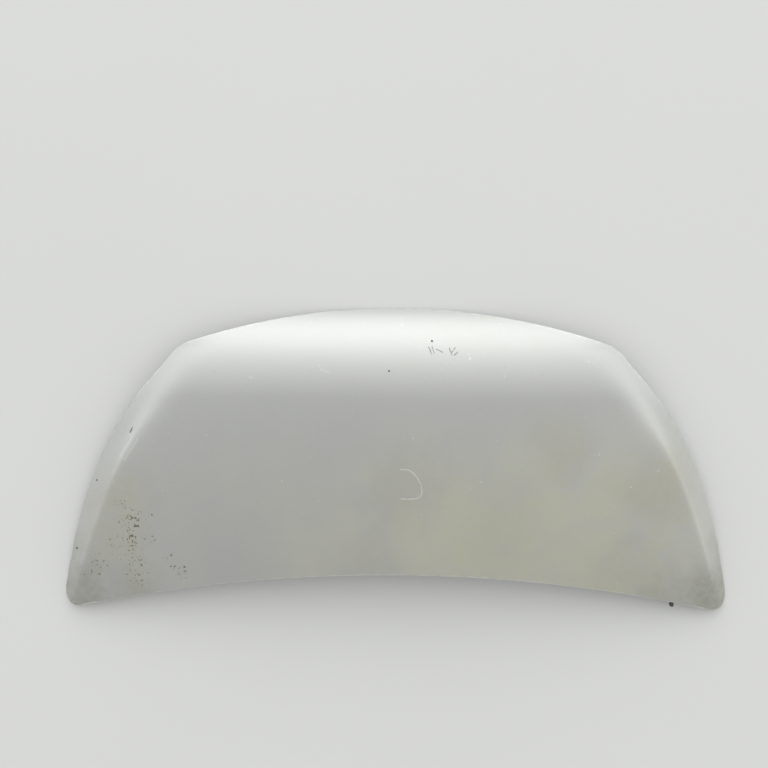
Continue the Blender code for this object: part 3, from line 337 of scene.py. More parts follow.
class SharedEffects:
    """Node groups that several finishes use, each built once."""

    def group(
        self, name: str, inputs: Sequence[str], outputs: Sequence[str] = ("Mask",)
    ) -> tuple[Graph, list[Socket], bpy.types.NodeInputs]:
        """Start a node group.

        Args:
            name: Name of the group.
            inputs: Name of each input.
            outputs: Name of each output, all of them numbers.

        Returns:
            The group's graph, the sockets that give its inputs, and those that take its outputs.
        """
        tree = bpy.data.node_groups.new(name, "ShaderNodeTree")
        for label in inputs:
            kind = "NodeSocketVector" if label in VECTOR_INPUTS else "NodeSocketFloat"
            tree.interface.new_socket(label, in_out="INPUT", socket_type=kind)
        for label in outputs:
            tree.interface.new_socket(label, in_out="OUTPUT", socket_type="NodeSocketFloat")
        graph = Graph(tree)
        given = graph.add("NodeGroupInput").outputs
        return graph, [given[label] for label in inputs], graph.add("NodeGroupOutput").inputs

    @cached_property
    def film(self) -> bpy.types.NodeTree:
        """Uneven film such as dust or dried dirt, as a mask."""
        inputs = ("Place", "Scale", "Cover", "Softness")
        graph, (place, scale, cover, softness), made = self.group("uneven film", inputs)
        broad = graph.noise(place, scale, 5.0, 0.62)
        fine = graph.noise(place, graph.times(scale, 9.0), 4.0, 0.6)
        both = graph.between(0.28, broad, fine)
        middle = graph.math("SUBTRACT", 0.5, graph.math("MULTIPLY_ADD", cover, 0.5, -0.25))
        low = graph.math("SUBTRACT", middle, softness)
        high = graph.math("ADD", middle, softness)
        graph.feed(made["Mask"], graph.stepped(both, low, high))
        return graph.tree

    @cached_property
    def specks(self) -> bpy.types.NodeTree:
        """Scattered small round chips of uneven size, and a halo round each, as masks."""
        inputs, outputs = ("Place", "Spacing", "Radius", "Share"), ("Mask", "Halo")
        graph, (place, spacing, radius, share), made = self.group("scattered specks", inputs, outputs)
        flat = graph.vector("MULTIPLY", graph.strayed(place, 900.0, 1.0, 0.0012), FROM_ABOVE)
        away, chance = graph.cells(flat, spacing, voronoi_dimensions="2D")
        distance = graph.times(away, spacing)
        reach = graph.times(radius, graph.between(chance[0], 0.35, 1.0))
        chosen = graph.math("LESS_THAN", chance[1], share)
        inner = graph.times(reach, 0.7)
        for label, outer in (("Mask", reach), ("Halo", graph.times(reach, 2.6))):
            graph.feed(made[label], graph.times(graph.stepped(distance, inner, outer, 1.0, 0.0), chosen))
        return graph.tree

    @cached_property
    def pitting(self) -> bpy.types.NodeTree:
        """Ragged pits that crowd where the field is strong, and a halo round them, as masks."""
        inputs = ("Place", "Size", "Field")
        graph, (place, size, strength), made = self.group("ragged pits", inputs, ("Mask", "Halo"))
        lumps = graph.noise(place, graph.math("DIVIDE", 1.0, size), 2.5, 0.6)
        level = graph.math("MULTIPLY_ADD", strength, -0.215, 0.80)
        full = graph.math("ADD", level, 0.035)
        graph.feed(made["Mask"], graph.stepped(lumps, level, full))
        graph.feed(made["Halo"], graph.stepped(lumps, graph.math("SUBTRACT", level, 0.07), full))
        return graph.tree

    @cached_property
    def stroke(self) -> bpy.types.NodeTree:
        """One short rubbed or scratched line seen from above, as a mask."""
        inputs = ("Place", "Start", "End", "Width", "Wobble")
        graph, (place, start, end, width, wobble), made = self.group("scratch stroke", inputs)
        offset = graph.vector("SUBTRACT", graph.strayed(place, 130.0, 2.0, wobble), start)
        flat = graph.vector("MULTIPLY", offset, FROM_ABOVE)
        along = graph.vector("SUBTRACT", end, start)
        length = graph.vector("DOT_PRODUCT", along, along)
        held = graph.add("ShaderNodeClamp")
        graph.feed(held.inputs[0], graph.math("DIVIDE", graph.vector("DOT_PRODUCT", flat, along), length))
        away = graph.vector("DISTANCE", flat, graph.scaled(along, held.outputs[0]))
        worn = graph.stepped(graph.noise(place, 420.0, 3.0, 0.7), 0.36, 0.52, 0.25, 1.0)
        line = graph.stepped(away, graph.times(width, 0.35), width, 1.0, 0.0)
        graph.feed(made["Mask"], graph.times(line, worn))
        return graph.tree

    @cached_property
    def patch(self) -> bpy.types.NodeTree:
        """One soft uneven patch seen from above, as a mask."""
        inputs = ("Place", "Centre", "Radius", "Edge")
        graph, (place, centre, radius, edge), made = self.group("soft patch", inputs)
        flat = graph.vector("MULTIPLY", graph.vector("SUBTRACT", place, centre), FROM_ABOVE)
        away = graph.math("DIVIDE", graph.vector("LENGTH", flat), radius)
        ragged = graph.noise(place, graph.math("DIVIDE", 1.6, radius), 4.0, 0.6)
        uneven = graph.math("MULTIPLY_ADD", graph.math("SUBTRACT", ragged, 0.5), 1.1, away)
        graph.feed(made["Mask"], graph.stepped(uneven, graph.math("SUBTRACT", 1.0, edge), 1.0, 1.0, 0.0))
        return graph.tree

    @cached_property
    def edge_wear_and_highlight(self) -> bpy.types.NodeTree:
        """Ragged band along a sheet's edge, as a mask, from the distance to that edge: worn paint at the
        edge and a painted highlight.
        """
        inputs = ("Place", "Distance", "Reach", "Amount")
        graph, (place, distance, reach, amount), made = self.group("edge wear and highlight", inputs)
        limit = graph.times(reach, graph.stepped(graph.noise(place, 60.0, 5.0, 0.65), 0.3, 0.72))
        near = graph.math("SUBTRACT", 1.0, graph.math("DIVIDE", distance, limit))
        graph.feed(made["Mask"], graph.times(graph.stepped(near, 0.0, 0.5), amount))
        return graph.tree

    @cached_property
    def flake(self) -> bpy.types.NodeTree:
        """Glints of metal flake in a paint, as a value round zero."""
        graph, (place, size), made = self.group("metal flake", ("Place", "Size"), ("Glint",))
        chance = graph.cells(place, size)[1]
        graph.feed(made["Glint"], graph.math("SUBTRACT", chance[0], 0.5))
        return graph.tree

    @cached_property
    def grain(self) -> bpy.types.NodeTree:
        """Fine lumps of a sprayed or moulded surface, as a height."""
        inputs = ("Place", "Size", "Roughness")
        graph, (place, size, roughness), made = self.group("fine grain", inputs, ("Height",))
        scale = graph.math("DIVIDE", 1.0, size)
        broad = graph.noise(place, scale, 2.0)
        fine = graph.noise(place, graph.times(scale, 3.3), 3.0, 0.6)
        graph.feed(made["Height"], graph.between(roughness, broad, fine))
        return graph.tree


EFFECTS = SharedEffects()


# Finishes


@dataclass
class Surface:
    """Material under construction: its graph and its one Principled shader."""

    name: str
    graph: Graph = field(init=False)
    shader: bpy.types.Node = field(init=False)
    material: bpy.types.Material = field(init=False)

    def __post_init__(self) -> None:
        """Make the empty material."""
        self.material = bpy.data.materials.new(self.name)
        self.material.use_nodes = True
        self.graph = Graph(self.material.node_tree)
        self.shader = self.material.node_tree.nodes["Principled BSDF"]

    def set(self, **values: Wire) -> None:
        """Set or link inputs of the shader.

        Args:
            values: The inputs by name, with underscores for spaces.
        """
        for name, value in values.items():
            self.graph.feed(self.shader.inputs[name.replace("_", " ")], value)

    def bump(self, height: Socket, distance: float, strength: float = 1.0) -> None:
        """Feed the shader's normal from a height.

        Args:
            height: The height, from 0 to 1.
            distance: Metres that 1 stands for.
            strength: Share of the effect.
        """
        node = self.graph.add("ShaderNodeBump")
        node.inputs["Strength"].default_value = strength
        node.inputs["Distance"].default_value = distance
        self.graph.feed(node.inputs["Height"], height)
        self.graph.feed(self.shader.inputs["Normal"], node.outputs[0])


@dataclass(frozen=True)
class SilverPaint:
    """Aged silver metallic paint of the outer face.

    Places are in metres as seen from above. A patch is x, y, radius and strength, and a chip is x, y and
    radius. A step is where a smooth step starts and ends, with the values before and after it.
    """

    silver: Colour = (0.425, 0.432, 0.422)
    dust: Colour = (0.40, 0.395, 0.275)
    # dark olive of dried dirt, also used for painted shade under the hem's fold
    dried_dirt_and_shade: Colour = (0.25, 0.235, 0.15)
    # pale of worn paint at the hem, also a painted highlight there
    primer_and_highlight: Colour = (0.60, 0.61, 0.58)
    rust: Colour = (0.072, 0.056, 0.034)
    rust_stain: Colour = (0.23, 0.20, 0.125)
    bare_chip: Colour = (0.02, 0.02, 0.02)
    scuff: Colour = (0.62, 0.64, 0.60)
    smudge: Colour = (0.10, 0.10, 0.10)
    # olive grey of the darker rear corners: partly dirt, partly painted shade
    corner_grime_and_shade: Colour = (0.185, 0.185, 0.145)
    inside: Colour = (0.33, 0.34, 0.34)
    flake_size: float = 0.0007
    glint: float = 0.10
    shading_scale: float = 2.2
    shading: float = 0.10
    film_dust: tuple[float, float] = (0.22, 0.36)
    rearward: Step = (-0.10, 0.16, 1.0, 0.12)
    rightward: Step = (-0.42, 0.20, 0.30, 1.0)
    inboard: Step = (0.52, 0.66, 1.0, 0.45)
    smear_stretch: Point = (11.0, 3.5, 3.5)
    smear_step: Step = (0.46, 0.74)
    smear_dust: float = 0.10
    patch_softness: float = 0.9
    speckle_scale: float = 38.0
    speckle_step: Step = (0.34, 0.70, 0.6, 1.0)
    patch_dirt: float = 0.55
    # how dark the rear corners get: partly dirt, partly painted shade
    corner_shade_and_dirt_amount: float = 0.75
    lip_reach: float = 0.0035
    # how pale the band along the hem gets: partly wear, partly a painted highlight
    lip_wear_and_highlight: float = 0.55
    # darkening under the hem's fold: partly dirt, partly painted shade
    seam_shade_and_dirt: float = 0.75
    ring_width: float = 0.0012
    ring_scuff: float = 0.7
    rub_width: float = 0.0018
    rub_scuff: float = 0.35
    smudge_width: float = 0.0014
    smudge_amount: float = 0.8
    rust_softness: float = 0.8
    pit_size: float = 0.0052
    lone_pit: tuple[float, float, float] = (0.012, 0.0021, 0.14)
    pepper: tuple[float, float, float] = (0.060, 0.0014, 0.10)
    halo_stain: float = 0.35
    rust_amount: float = 0.9
    pepper_amount: float = 0.55
    chip_softness: float = 0.4
    crease_chip_width: float = 0.0024
    # the same darkening on the inner face under the fold: partly dirt, partly painted shade
    inside_seam_shade_and_dirt: float = 0.5
    dust_dulls: float = 0.9
    metal: float = 0.66
    roughness: tuple[float, float] = (0.42, 0.68)
    coat: float = 0.30
    coat_roughness: float = 0.22
    peel_size: float = 0.004
    peel_fineness: float = 0.25
    peel_depth: float = 0.00006
    peel_strength: float = 0.6
    chip_depth: float = -3.0
    upper_side: Step = (-0.30, -0.05)
    rust_fields: tuple[Patch, ...] = (
        (-0.555, -0.090, 0.040, 0.80), (-0.540, -0.125, 0.058, 1.00), (-0.538, -0.165, 0.058, 0.96),
        (-0.534, -0.205, 0.052, 0.96), (-0.528, -0.240, 0.046, 0.90), (-0.583, -0.180, 0.034, 0.90),
        (-0.612, -0.210, 0.034, 0.85), (-0.640, -0.240, 0.040, 0.70), (-0.496, -0.156, 0.022, 0.90),
        (-0.469, -0.190, 0.026, 0.85), (-0.442, -0.229, 0.034, 0.92),
    )
    dirt_patches: tuple[Patch, ...] = (
        (0.323, 0.045, 0.100, 0.42), (0.530, -0.045, 0.120, 0.60), (0.020, -0.050, 0.130, 0.30),
        (-0.555, -0.085, 0.095, 0.85), (-0.575, -0.170, 0.090, 0.70), (-0.530, -0.245, 0.070, 0.45),
        (-0.060, -0.180, 0.120, 0.22), (0.200, -0.120, 0.150, 0.22), (0.480, -0.230, 0.130, 0.35),
    )
    # darker patches at the rear corners and the rear of the flanks: partly dirt, partly painted shade
    dirty_shaded_corners: tuple[Patch, ...] = (
        (-0.680, -0.310, 0.150, 1.0), (0.680, -0.310, 0.160, 1.0), (-0.700, -0.200, 0.080, 0.6),
        (0.700, -0.200, 0.080, 0.6), (0.575, -0.300, 0.110, 0.45), (-0.560, -0.305, 0.110, 0.40),
    )
    ring_mark: tuple[tuple[float, float], ...] = (
        (0.0060, -0.0640), (0.0198, -0.0646), (0.0300, -0.0643), (0.0390, -0.0628), (0.0455, -0.0598),
        (0.0486, -0.0550), (0.0492, -0.0480), (0.0476, -0.0400), (0.0452, -0.0325), (0.0410, -0.0245),
        (0.0364, -0.0175), (0.0306, -0.0112), (0.0235, -0.0068), (0.0150, -0.0052), (0.0060, -0.0052),
    )
    rubbed_marks: tuple[Line, ...] = (
        ((-0.152, 0.190), (-0.136, 0.185)), ((-0.530, 0.060), (-0.543, 0.036)),
        ((-0.543, 0.036), (-0.562, 0.010)), ((-0.522, 0.048), (-0.550, 0.004)),
    )
    smudges: tuple[Line, ...] = (
        ((0.060, 0.236), (0.066, 0.222)), ((0.067, 0.237), (0.072, 0.224)),
        ((0.076, 0.232), (0.087, 0.226)), ((0.102, 0.234), (0.106, 0.221)),
        ((0.113, 0.235), (0.107, 0.226)), ((0.111, 0.220), (0.118, 0.226)),
    )
    crease_chip: Line = ((-0.5405, 0.0595), (-0.5365, 0.0675))
    dark_chips: tuple[tuple[float, float, float], ...] = (
        (-0.6190, -0.0445, 0.0026), (-0.6677, -0.1910, 0.0030), (0.0674, 0.2478, 0.0026),
        (-0.0182, 0.1885, 0.0022),
    )

    def patches(self, graph: Graph, place: Socket, listed: Sequence[Patch], edge: float) -> Socket:
        """Union of soft patches.

        Args:
            graph: Graph to add to.
            place: Coordinates.
            listed: The patches.
            edge: Softness of their edges.

        Returns:
            The mask.
        """
        masks = []
        for x, y, radius, strength in listed:
            node = graph.effect(EFFECTS.patch, Place=place, Centre=(x, y, 0.0), Radius=radius, Edge=edge)
            masks.append(graph.times(node.outputs[0], strength))
        return graph.joined(masks)

    def strokes(
        self, graph: Graph, place: Socket, lines: Sequence[Line], width: float, wobble: float = 0.004
    ) -> Socket:
        """Union of scratch strokes.

        Args:
            graph: Graph to add to.
            place: Coordinates.
            lines: The strokes.
            width: Half width of each stroke.
            wobble: How far the strokes stray.

        Returns:
            The mask.
        """
        masks = []
        for start, end in lines:
            ends = {"Start": (*start, 0.0), "End": (*end, 0.0)}
            node = graph.effect(EFFECTS.stroke, Place=place, Width=width, Wobble=wobble, **ends)
            masks.append(node.outputs[0])
        return graph.joined(masks)

    def flaked(self, graph: Graph, place: Socket) -> Socket:
        """Clean paint, with its flakes and broad shading.

        Args:
            graph: Graph to add to.
            place: Coordinates.

        Returns:
            The colour.
        """
        glint = graph.effect(EFFECTS.flake, Place=place, Size=self.flake_size).outputs[0]
        broad = graph.math("SUBTRACT", graph.noise(place, self.shading_scale), 0.5)
        shade = graph.math("MULTIPLY_ADD", broad, self.shading, 1.0)
        shade = graph.math("MULTIPLY_ADD", glint, self.glint, shade)
        return graph.mix(1.0, self.silver, shade, Blend.DARKEN)

    def dust_mask(self, graph: Graph, place: Socket) -> Socket:
        """Mask of the dust, thicker to the rear and to the right, and thinner on the flanks.

        Args:
            graph: Graph to add to.
            place: Coordinates.

        Returns:
            The mask.
        """
        film = graph.effect(EFFECTS.film, Place=place, Scale=7.5, Cover=0.5, Softness=0.13).outputs[0]
        across, along, _ = graph.axes(place)
        rearward = graph.stepped(along, *self.rearward)
        rightward = graph.stepped(across, *self.rightward)
        inboard = graph.stepped(graph.math("ABSOLUTE", across), *self.inboard)
        everywhere, in_film = self.film_dust
        amount = graph.math("MULTIPLY_ADD", film, in_film, everywhere)
        settled = graph.times(amount, graph.times(graph.times(rearward, rightward), inboard))
        smears = graph.noise(graph.vector("MULTIPLY", place, self.smear_stretch), 1.0, 4.0, 0.6)
        run = graph.stepped(smears, *self.smear_step)
        return graph.math("MULTIPLY_ADD", graph.times(run, rearward), self.smear_dust, settled)

    def pale_marks(self, graph: Graph, place: Socket) -> Socket:
        """Mask of the ring mark and the rubbed marks.

        Args:
            graph: Graph to add to.
            place: Coordinates.

        Returns:
            The mask.
        """
        around = list(zip(self.ring_mark, self.ring_mark[1:]))
        ring = self.strokes(graph, place, around, self.ring_width, self.ring_width)
        rubbed = self.strokes(graph, place, self.rubbed_marks, self.rub_width)
        return graph.joined([graph.times(ring, self.ring_scuff), graph.times(rubbed, self.rub_scuff)])

    def chips(self, graph: Graph, place: Socket) -> Socket:
        """Mask of the dark chips.

        Args:
            graph: Graph to add to.
            place: Coordinates.

        Returns:
            The mask.
        """
        soft = {"Place": place, "Edge": self.chip_softness}
        dots = [
            graph.effect(EFFECTS.patch, Centre=(x, y, 0.0), Radius=radius, **soft).outputs[0]
            for x, y, radius in self.dark_chips
        ]
        return graph.joined([*dots, self.strokes(graph, place, [self.crease_chip], self.crease_chip_width)])

    def speckled(self, graph: Graph, place: Socket, row: tuple[float, float, Wire]) -> bpy.types.Node:
        """Specks with a row's spacing, radius and share."""
        spacing, radius, share = row
        return graph.effect(EFFECTS.specks, Place=place, Spacing=spacing, Radius=radius, Share=share)

    def make(self) -> bpy.types.Material:
        """Build the paint.

        Returns:
            The material.
        """
        surface = Surface("silver metallic paint")
        graph = surface.graph
        place = graph.place()
        edge = graph.attribute("edge")
        under = graph.attribute("under")
        dusty = self.dust_mask(graph, place)
        colour = graph.mix(dusty, self.flaked(graph, place), self.dust)

        speckle = graph.stepped(graph.noise(place, self.speckle_scale, 5.0, 0.7), *self.speckle_step)
        spread = graph.times(self.patches(graph, place, self.dirt_patches, self.patch_softness), speckle)
        # rear corners and rear flanks darkened: partly dirt, partly painted shade
        corners = graph.times(self.patches(graph, place, self.dirty_shaded_corners, self.patch_softness), speckle)
        colour = graph.mix(graph.times(spread, self.patch_dirt), colour, self.dried_dirt_and_shade)
        colour = graph.mix(graph.times(corners, self.corner_shade_and_dirt_amount), colour, self.corner_grime_and_shade)

        # pale band along the hem: partly worn paint showing the pale undercoat, partly a painted highlight
        lip = graph.effect(
            EFFECTS.edge_wear_and_highlight, Place=place, Distance=edge, Reach=self.lip_reach, Amount=self.lip_wear_and_highlight
        ).outputs[0]
        colour = graph.mix(lip, colour, self.primer_and_highlight)
        # the hem's fold and return underneath darkened: partly dirt, partly painted shade
        seam = graph.times(under, self.seam_shade_and_dirt)
        colour = graph.mix(seam, colour, self.dried_dirt_and_shade)

        pale = self.pale_marks(graph, place)
        colour = graph.mix(pale, colour, self.scuff)
        smudges = self.strokes(graph, place, self.smudges, self.smudge_width)
        smudged = graph.times(smudges, self.smudge_amount)
        colour = graph.mix(smudged, colour, self.smudge)

        fields = self.patches(graph, place, self.rust_fields, self.rust_softness)
        close = graph.effect(EFFECTS.pitting, Place=place, Size=self.pit_size, Field=fields)
        spacing, radius, share = self.lone_pit
        lone = self.speckled(graph, place, (spacing, radius, graph.times(fields, share)))
        halos = graph.math("MAXIMUM", close.outputs["Halo"], lone.outputs["Halo"])
        colour = graph.mix(graph.times(halos, self.halo_stain), colour, self.rust_stain)
        rusts = graph.math("MAXIMUM", close.outputs["Mask"], lone.outputs["Mask"])
        rusted = graph.times(rusts, self.rust_amount)
        colour = graph.mix(rusted, colour, self.rust)
        peppered = graph.times(self.speckled(graph, place, self.pepper).outputs["Mask"], self.pepper_amount)
        colour = graph.mix(peppered, colour, self.rust_stain)
        chips = self.chips(graph, place)
        colour = graph.mix(chips, colour, self.bare_chip)

        upright = graph.axes(graph.add("ShaderNodeNewGeometry").outputs["Normal"])[2]
        outside = graph.stepped(upright, *self.upper_side)
        # inner face, darker under the hem's fold: partly dirt, partly painted shade
        inner = graph.mix(graph.times(under, self.inside_seam_shade_and_dirt), self.inside, self.dried_dirt_and_shade)
        colour = graph.mix(outside, inner, colour)

        broken = graph.times(graph.joined([rusted, chips, peppered]), outside)
        # dirt patches together with the darker corners, which are partly painted shade
        dirt = graph.math("MAXIMUM", spread, corners)
        dull = graph.joined([dirt, broken, pale, smudged, seam, graph.times(dusty, self.dust_dulls)])
        clean = graph.math("SUBTRACT", 1.0, dull)
        clean.node.use_clamp = True
        surface.set(
            Base_Color=colour,
            Metallic=graph.times(clean, self.metal),
            Roughness=graph.between(dull, *self.roughness),
            Coat_Weight=graph.times(clean, self.coat),
            Coat_Roughness=self.coat_roughness,
        )
        peel = graph.effect(
            EFFECTS.grain, Place=place, Size=self.peel_size, Roughness=self.peel_fineness
        ).outputs[0]
        sunk = graph.math("MULTIPLY_ADD", broken, self.chip_depth, peel)
        surface.bump(sunk, self.peel_depth, self.peel_strength)
        return surface.material


@dataclass(frozen=True)
class DustyCoat:
    """Plain coating with dust in patches, for what sits under the bonnet."""

    name: str
    colour: Colour
    second: Colour
    dust: Colour
    metallic: float
    roughness: float
    grain_size: float
    grain_depth: float
    dust_cover: float = 0.35
    dust_amount: float = 0.35
    mottle_scale: float = 60.0
    coat: float = 0.0
    mottle_step: Step = (0.35, 0.68)
    film_grain: tuple[float, float] = (9.0, 0.16)
    lying: Step = (0.2, 0.95, 0.45, 1.0)
    dust_roughness: float = 0.85
    coat_roughness: float = 0.25
    fine_grain: float = 0.4

    def make(self) -> bpy.types.Material:
        """Build the coating.

        Returns:
            The material.
        """
        surface = Surface(self.name)
        graph = surface.graph
        place = graph.place()
        mottle = graph.noise(place, self.mottle_scale, 4.0, 0.6)
        colour = graph.mix(graph.stepped(mottle, *self.mottle_step), self.colour, self.second)
        scale, softness = self.film_grain
        film = graph.effect(
            EFFECTS.film, Place=place, Scale=scale, Cover=self.dust_cover, Softness=softness
        ).outputs[0]
        upright = graph.axes(graph.add("ShaderNodeNewGeometry").outputs["Normal"])[2]
        settled = graph.stepped(graph.math("ABSOLUTE", upright), *self.lying)
        dusty = graph.times(graph.times(film, settled), self.dust_amount)
        colour = graph.mix(dusty, colour, self.dust)
        bare = graph.math("SUBTRACT", 1.0, dusty)
        surface.set(
            Base_Color=colour,
            Metallic=graph.times(bare, self.metallic),
            Roughness=graph.between(dusty, self.roughness, self.dust_roughness),
        )
        if self.coat:
            surface.set(Coat_Weight=graph.times(bare, self.coat), Coat_Roughness=self.coat_roughness)
        grain = graph.effect(
            EFFECTS.grain, Place=place, Size=self.grain_size, Roughness=self.fine_grain
        ).outputs[0]
        surface.bump(grain, self.grain_depth)
        return surface.material


@dataclass(frozen=True)
class PlatedSteel:
    """Yellow zinc plate, cloudy, worn bright where it rubs."""

    yellow: Colour = (0.52, 0.46, 0.30)
    pale: Colour = (0.62, 0.60, 0.54)
    pink: Colour = (0.50, 0.38, 0.34)
    cloud_scale: float = 90.0
    cloud_step: Step = (0.3, 0.75, 0.1, 0.8)
    tint_scale: float = 240.0
    tint_step: Step = (0.5, 0.75, 0.0, 0.25)
    roughness: tuple[float, float] = (0.28, 0.48)
    drawn_lines: Point = (1500.0, 200.0, 200.0)
    line_depth: float = 0.00003

    def make(self) -> bpy.types.Material:
        """Build the plating.

        Returns:
            The material.
        """
        surface = Surface("zinc plated steel")
        graph = surface.graph
        place = graph.place()
        cloud = graph.noise(place, self.cloud_scale)
        tint = graph.noise(place, self.tint_scale, 2.0)
        colour = graph.mix(graph.stepped(cloud, *self.cloud_step), self.yellow, self.pale)
        colour = graph.mix(graph.stepped(tint, *self.tint_step), colour, self.pink)
        lines = graph.noise(graph.vector("MULTIPLY", place, self.drawn_lines), 1.0, 2.0)
        surface.set(Base_Color=colour, Metallic=1.0, Roughness=graph.between(cloud, *self.roughness))
        surface.bump(lines, self.line_depth)
        return surface.material


def finishes() -> dict[Slot, bpy.types.Material]:
    """Build every finish once.

    Returns:
        The material for each slot of the record.
    """
    dust = (0.36, 0.34, 0.28)
    inner = DustyCoat(
        "thin inner paint", (0.34, 0.35, 0.35), (0.30, 0.31, 0.31), dust, 0.35, 0.48, 0.003, 0.00005,
        dust_cover=0.55, dust_amount=0.6, mottle_scale=7.0, coat=0.2,
    )
    steel = DustyCoat(
        "coated seat steel", (0.20, 0.20, 0.205), (0.28, 0.28, 0.28), dust, 0.75, 0.5, 0.0015, 0.00004,
    )
    rubber = DustyCoat(
        "black rubber", (0.014, 0.014, 0.015), (0.022, 0.022, 0.022), (0.11, 0.105, 0.09), 0.0, 0.78,
        0.0012, 0.00008, dust_cover=0.5, dust_amount=0.5,
    )
    plastic = DustyCoat(
        "moulded black plastic", (0.018, 0.018, 0.02), (0.026, 0.026, 0.028), (0.12, 0.115, 0.10), 0.0, 0.5,
        0.0006, 0.00005, dust_cover=0.4, dust_amount=0.35,
    )
    mastic = DustyCoat(
        "baked grey mastic", (0.15, 0.15, 0.15), (0.19, 0.185, 0.175), dust, 0.0, 0.85, 0.0025, 0.0004,
        dust_cover=0.4, dust_amount=0.4,
    )
    made = {
        Slot.PAINT: SilverPaint(),
        Slot.INNER_PAINT: inner,
        Slot.SEAT_STEEL: steel,
        Slot.ZINC: PlatedSteel(),
        Slot.RUBBER: rubber,
        Slot.PLASTIC: plastic,
        Slot.MASTIC: mastic,
    }
    return {slot: finish.make() for slot, finish in made.items()}


# Shape of the bonnet's face


@dataclass(frozen=True)
class BonnetFace:
    """Plan outline and heights of the outer face, in metres, y from the rear corners' line."""

    width: float = 1.419
    centre_length: float = 0.5405
    rear_bow: float = 0.104
    nose_width: float = 0.909
    nose_bow: float = 0.082
    rear_corner_radius: float = 0.031
    nose_corner_radius: float = 0.060
    side_rear: tuple[float, float] = (math.radians(9.4), 0.449)
    side_nose: tuple[float, float] = (math.radians(23), 0.085)
    crown_height: float = 0.092
    crown_ahead: float = 0.272
    lengthwise_radius: float = 2.05
    nose_roll_length: float = 0.184
    crease_insets: tuple[float, float] = (0.0187, 0.051)
    crease_rear: tuple[float, float] = (math.radians(18.8), 0.403)
    crease_nose: tuple[float, float] = (math.radians(35.5), 0.218)
    crease_softness: float = 0.006
    crease_rounding: float = 0.030
    rounding_grows: tuple[float, float] = (0.300, 0.460)
    crease_fade: tuple[float, float] = (0.260, 0.060)
    crease_faded: float = 0.45
    flank_slope: float = math.radians(32)
    sideways_fall: float = 0.11192246636470524
    settling_fall: float = -0.008531937466074432
    settling_tilt: float = 0.012538849781187819
    middle_y: float = 0.32842543721199036
    hem_radius: float = 0.00165
    gap: float = 0.0003
    normal_step: float = 0.0005

    @property
    def nose_y(self) -> float:
        """Plan place of the nose on the middle line."""
        return self.rear_bow + self.centre_length

    @property
    def roll_y(self) -> float:
        """Where the nose roll starts."""
        return self.nose_y - self.nose_roll_length

    def rear_edge(self, x: np.ndarray | float) -> np.ndarray | float:
        """Plan line where the rear hem starts to fold."""
        return self.rear_bow * (1 - (2 * x / self.width) ** 2) + self.hem_radius

    def nose_edge(self, x: np.ndarray | float) -> np.ndarray | float:
        """Plan line where the nose hem starts to fold."""
        return self.nose_y - self.nose_bow * (2 * x / self.nose_width) ** 2 - self.hem_radius

    @staticmethod
    def bezier(
        start: np.ndarray, start_pull: np.ndarray, end: np.ndarray, end_pull: np.ndarray
    ) -> np.ndarray:
        """Points of a plan curve.

        Args:
            start: First end.
            start_pull: Pull at the first end.
            end: Second end.
            end_pull: Pull at the second end.

        Returns:
            The points, one a row.
        """
        share = np.linspace(0, 1, CURVE_POINTS)[:, None]
        rest = 1 - share
        ends = rest**3 * start + share**3 * end
        return ends + 3 * share * rest**2 * (start + start_pull) + 3 * share**2 * rest * (end - end_pull)

    @staticmethod
    def pull(lean: tuple[float, float]) -> np.ndarray:
        """Pull of a curve that leans inwards by an angle, with its length."""
        angle, length = lean
        return np.array((-math.sin(angle), math.cos(angle))) * length

    @cached_property
    def side(self) -> np.ndarray:
        """Right side of the hem in plan, between its sharp corners."""
        rear_x = self.width / 2 - self.hem_radius
        nose_x = self.nose_width / 2 - self.hem_radius
        start = np.array((rear_x, self.rear_edge(rear_x)))
        end = np.array((nose_x, self.nose_edge(nose_x)))
        return self.bezier(start, self.pull(self.side_rear), end, self.pull(self.side_nose))

    @cached_property
    def crease(self) -> np.ndarray:
        """Right crease in plan."""
        start = np.array((self.width / 2 - self.crease_insets[0], 0.0))
        end = np.array((self.nose_width / 2 - self.crease_insets[1], self.nose_edge(self.nose_width / 2)))
        return self.bezier(start, self.pull(self.crease_rear), end, self.pull(self.crease_nose))

    def side_x(self, y: float) -> float:
        """Half width of the panel at y."""
        return float(np.interp(y, self.side[:, 1], self.side[:, 0]))

    def crease_x(self, y: np.ndarray | float) -> np.ndarray:
        """Distance of the crease from the middle at y."""
        return np.interp(y, self.crease[:, 1], self.crease[:, 0])

    def long_arc(self, y: np.ndarray | float) -> np.ndarray | float:
        """Height of the shallow arc along the middle."""
        ahead = y - self.rear_bow - self.crown_ahead
        return self.crown_height - self.lengthwise_radius + np.sqrt(self.lengthwise_radius**2 - ahead**2)

    def centre_height(self, y: np.ndarray) -> np.ndarray:
        """Height of the face along the middle.

        Args:
            y: Plan places.

        Returns:
            The height at each: a long shallow arc, then the nose roll.
        """
        slope = math.asin((self.roll_y - self.rear_bow - self.crown_ahead) / self.lengthwise_radius)
        top = self.long_arc(self.roll_y)
        turn = 2 * (math.atan2(top - self.gap, self.nose_roll_length) - slope)
        radius = math.hypot(top - self.gap, self.nose_roll_length) / (2 * math.sin(turn / 2))
        leaning = np.clip(math.sin(slope) + (y - self.roll_y) / radius, -1, 1)
        rolled = top - radius * (math.cos(slope) - np.sqrt(1 - leaning**2))
        return np.where(y <= self.roll_y, self.long_arc(y), rolled)

    @staticmethod
    def smooth(value: np.ndarray, start: float, end: float) -> np.ndarray:
        """Smooth step of the values from 0 at start to 1 at end."""
        share = np.clip((value - start) / (end - start), 0, 1)
        return share**2 * (3 - 2 * share)

